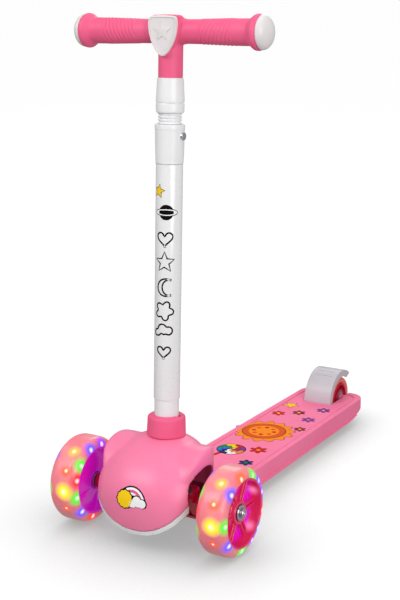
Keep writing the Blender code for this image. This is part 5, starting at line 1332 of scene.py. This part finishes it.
def printHood():
    # badge of a sun, a rainbow and a cloud; x across, y up
    middle = -0.001
    low = 0.0605
    arch = (middle + 0.002, low + 0.006)
    back = wedgePoints(arch, 0.0, 0.0222, -8, 188)
    addPrint("hood", "black", [back], 0)
    for number, ink in enumerate(("white", "pink", "white")):
        outer = 0.0203 - 0.0031 * number
        addPrint("hood", ink, [wedgePoints(arch, outer - 0.0029, outer, -2, 182)], 1)
    sun = petalPoints(12, 0.0118, 0.10, (middle - 0.0085, low + 0.0098))
    addPrint("hood", "black", [petalPoints(12, 0.0134, 0.10, (middle - 0.0085, low + 0.0098))], 2)
    addPrint("hood", "yellow", [sun], 3)
    cloud = cloudPoints(0.0135, (middle + 0.0120, low + 0.0065))
    addPrint("hood", "black", [cloudPoints(0.0155, (middle + 0.0120, low + 0.0065))], 2)
    addPrint("hood", "white", [cloud], 3)


def layerStep(layer):
    return 0.00006 * (layer + 1)


def laidOnDeck(loops, layer):
    moved = [[(x, y + axleY) for x, y in loop] for loop in loops]
    base = deckValues["top"] - deckValues["recess"]
    return flatShape("print", moved, base - 0.0001, base + layerStep(layer))


def laidOnStem(loops, layer):
    # the flat shape is cut finely and wrapped round the tube
    mesh = flatShape("print", loops, -0.00005, layerStep(layer) + 0.00004)
    work = bmesh.new()
    work.from_mesh(mesh)
    bmesh.ops.triangulate(work, faces=work.faces)
    for step in range(12):
        x = -0.018 + 0.003 * step
        everything = work.verts[:] + work.edges[:] + work.faces[:]
        bmesh.ops.bisect_plane(work, geom=everything, plane_co=(x, 0, 0), plane_no=(1, 0, 0))
    radius = tubeValues["radius"]
    for vertex in work.verts:
        angle = vertex.co.x / radius
        reach = radius + vertex.co.z
        vertex.co = stemPlace @ Vector((reach * math.sin(angle), -reach * math.cos(angle), vertex.co.y))
    work.to_mesh(mesh)
    work.free()
    return tidied(mesh)


def hoodPatch():
    # the part of the hood's skin behind the badge, as a tree to drop shapes on
    work = bmesh.new()
    work.from_mesh(hoodSkin)
    bmesh.ops.triangulate(work, faces=work.faces)
    tree = BVHTree.FromBMesh(work)
    work.free()
    return tree


hoodTree = hoodPatch()


def laidOnHood(loops, layer):
    mesh = flatShape("print", loops, -0.0001, layerStep(layer))
    work = bmesh.new()
    work.from_mesh(mesh)
    bmesh.ops.triangulate(work, faces=work.faces)
    for axis in range(2):
        for step in range(30):
            spot = [0, 0, 0]
            spot[axis] = (-0.03 if axis == 0 else 0.05) + 0.002 * step
            normal = [0, 0, 0]
            normal[axis] = 1
            everything = work.verts[:] + work.edges[:] + work.faces[:]
            bmesh.ops.bisect_plane(work, geom=everything, plane_co=spot, plane_no=normal)
    for vertex in work.verts:
        x, z, lift = vertex.co
        hit, normal, index, far = hoodTree.ray_cast(Vector((x, axleY - 0.2, z)), Vector((0, 1, 0)))
        vertex.co = hit + normal * (lift + 0.00012)
    work.to_mesh(mesh)
    work.free()
    return tidied(mesh)


def makePrints():
    layers = {"deck": laidOnDeck, "stem": laidOnStem, "hood": laidOnHood}
    bodies = {"deck": ("frame", "pink_plastic"), "stem": ("frame", "white_paint"),
              "hood": ("frame", "pink_plastic")}
    for (surface, ink, layer), shapes in sorted(inkPrint.items()):
        work = bmesh.new()
        for loops in shapes:
            part = layers[surface](loops, layer)
            work.from_mesh(part)
            bpy.data.meshes.remove(part)
        mesh = bpy.data.meshes.new("print")
        work.to_mesh(mesh)
        work.free()
        body, slot = bodies[surface]
        pieceFrom(mesh, f"print_{surface}_{ink}_{layer}", body, inks[ink], (), 30)


printDeck()
printStem()
printHood()
makePrints()
bpy.data.meshes.remove(hoodSkin)
print("stickers done")


# --- nodes that keep their CAD shape

nodeLooks = {
    "crimson": ["axle_carrier", "knuckle_left", "knuckle_right"],
    "rose": ["stem_release_button"],
    "white": ["stem_insert"],
    "paint": ["inner_tube"],
    "steel": ["kingpin_left", "kingpin_right", "tie_rod", "tie_rod_pin_left", "tie_rod_pin_right",
              "centring_spring_left",
              "centring_spring_right", "lock_button_spring", "release_spring", "rear_axle", "rear_axle_nut",
              "rear_spacer",
              "brake_pin", "brake_spring", "rear_bearing_left", "rear_bearing_right", "bearing_outer_left",
              "bearing_inner_left", "bearing_outer_right", "bearing_inner_right", "wheel_spacer_left",
              "wheel_spacer_right",
              "deck_screw_1", "deck_screw_2", "deck_screw_3", "deck_screw_4"],
    "shield": ["led_ring_left", "led_ring_right"],
}
for look, names in nodeLooks.items():
    for name in names:
        dressNode(name, looks[look])
print("small parts dressed")


# --- floor, lights and camera

# shade, reach and falloff set the painted contact shadow on the floor
lightValues = {"key": 30, "fill": 30, "top": 12, "back": 9, "floor": 0.95, "sky": 0.36, "shade": 0.35,
               "reach": 0.2, "falloff": 1.6, "steps": 72, "bowl": 7.0, "sweep": 1.5}


def makeFloor():
    # a bright round sweep that gives the object no light of its own, with a painted contact shadow: darker
    # close under things
    v = lightValues
    look = Look("studioFloor", Roughness=0.6, Emission_Strength=v["floor"])
    # painted shadow: the floor's glow is pulled toward the shade grey where ambient occlusion finds parts
    # close above
    contactShadowAO = look.node("ShaderNodeAmbientOcclusion", {"samples": 8}, {"Distance": v["reach"]})
    look.feed("Emission Color", look.blend(Wire(look, contactShadowAO.outputs["AO"]) ** v["falloff"],
                                           (v["shade"],) * 3 + (1,), (1, 1, 1, 1)))
    look.colour(look.blend(look.noise(3, 2, 0.5).between(0.3, 0.7), srgb(70, 70, 70), srgb(66, 66, 67)))
    low = cadBox[0][2]
    reach = v["bowl"] - v["sweep"]
    profile = [(0.01, low), (reach, low)]
    for angle in range(10, 91, 10):
        turn = math.radians(angle)
        profile.append((reach + v["sweep"] * math.sin(turn), low + v["sweep"] * (1 - math.cos(turn))))
    profile.append((v["bowl"], v["bowl"]))
    rings = [[(radius * math.cos(math.tau * s / v["steps"]), radius * math.sin(math.tau * s / v["steps"]),
               z) for s in range(v["steps"])]
             for radius, z in profile]
    mesh = fromRings("floor", rings, False)
    mesh.flip_normals()
    mesh.materials.append(look.material)
    mesh.shade_smooth()
    floor = holder("studio_floor", mesh)
    floor.visible_diffuse = False
    floor.visible_glossy = False
    floor.visible_shadow = False


def areaLight(name, spot, aim, size, power, colour=(1, 1, 1)):
    data = bpy.data.lights.new(name, "AREA")
    data.shape = "DISK"
    data.size = size
    data.energy = power
    data.color = colour
    item = bpy.data.objects.new(name, data)
    item.location = spot
    item.rotation_euler = (Vector(aim) - Vector(spot)).to_track_quat("-Z", "Y").to_euler()
    bpy.context.scene.collection.objects.link(item)


def makeLights():
    v = lightValues
    middle = (0, axleY + 0.1, 0.3)
    areaLight("key", (-1.1, axleY - 1.7, 1.9), middle, 1.2, v["key"])
    areaLight("fill", (1.9, axleY - 1.0, 0.9), middle, 1.6, v["fill"])
    areaLight("top", (0.1, axleY + 0.4, 2.4), middle, 1.8, v["top"])
    areaLight("back", (-0.8, axleY + 2.2, 1.5), middle, 1.2, v["back"])
    world = bpy.data.worlds.new("studio")
    world.use_nodes = True
    shade = world.node_tree.nodes["Background"]
    shade.inputs["Color"].default_value = (1, 1, 1, 1)
    shade.inputs["Strength"].default_value = v["sky"]
    bpy.context.scene.world = world
    bpy.context.scene.view_settings.view_transform = "Standard"  # the plastics keep their full colour


cameraValues = {"azimuth": 30.41, "elevation": 13.42, "distance": 1.55318, "aim": (0.06936, 0.0, 0.33356),
                "lens": 73.996}


def makeCamera():
    v = cameraValues
    azimuth = math.radians(v["azimuth"])
    elevation = math.radians(v["elevation"])
    back = Vector((math.sin(azimuth) * math.cos(elevation), -math.cos(azimuth) * math.cos(elevation),
                   math.sin(elevation)))
    aim = Vector(v["aim"]) + Vector((0, axleY, 0))
    data = bpy.data.cameras.new("camera")
    data.lens = v["lens"]
    data.sensor_width = 36
    data.sensor_fit = "AUTO"
    data.clip_end = 50
    item = bpy.data.objects.new("camera", data)
    item.location = aim + back * v["distance"]
    item.rotation_euler = (-back).to_track_quat("-Z", "Y").to_euler()
    bpy.context.scene.collection.objects.link(item)
    bpy.context.scene.camera = item


makeFloor()
makeLights()
makeCamera()
print("stage ready")
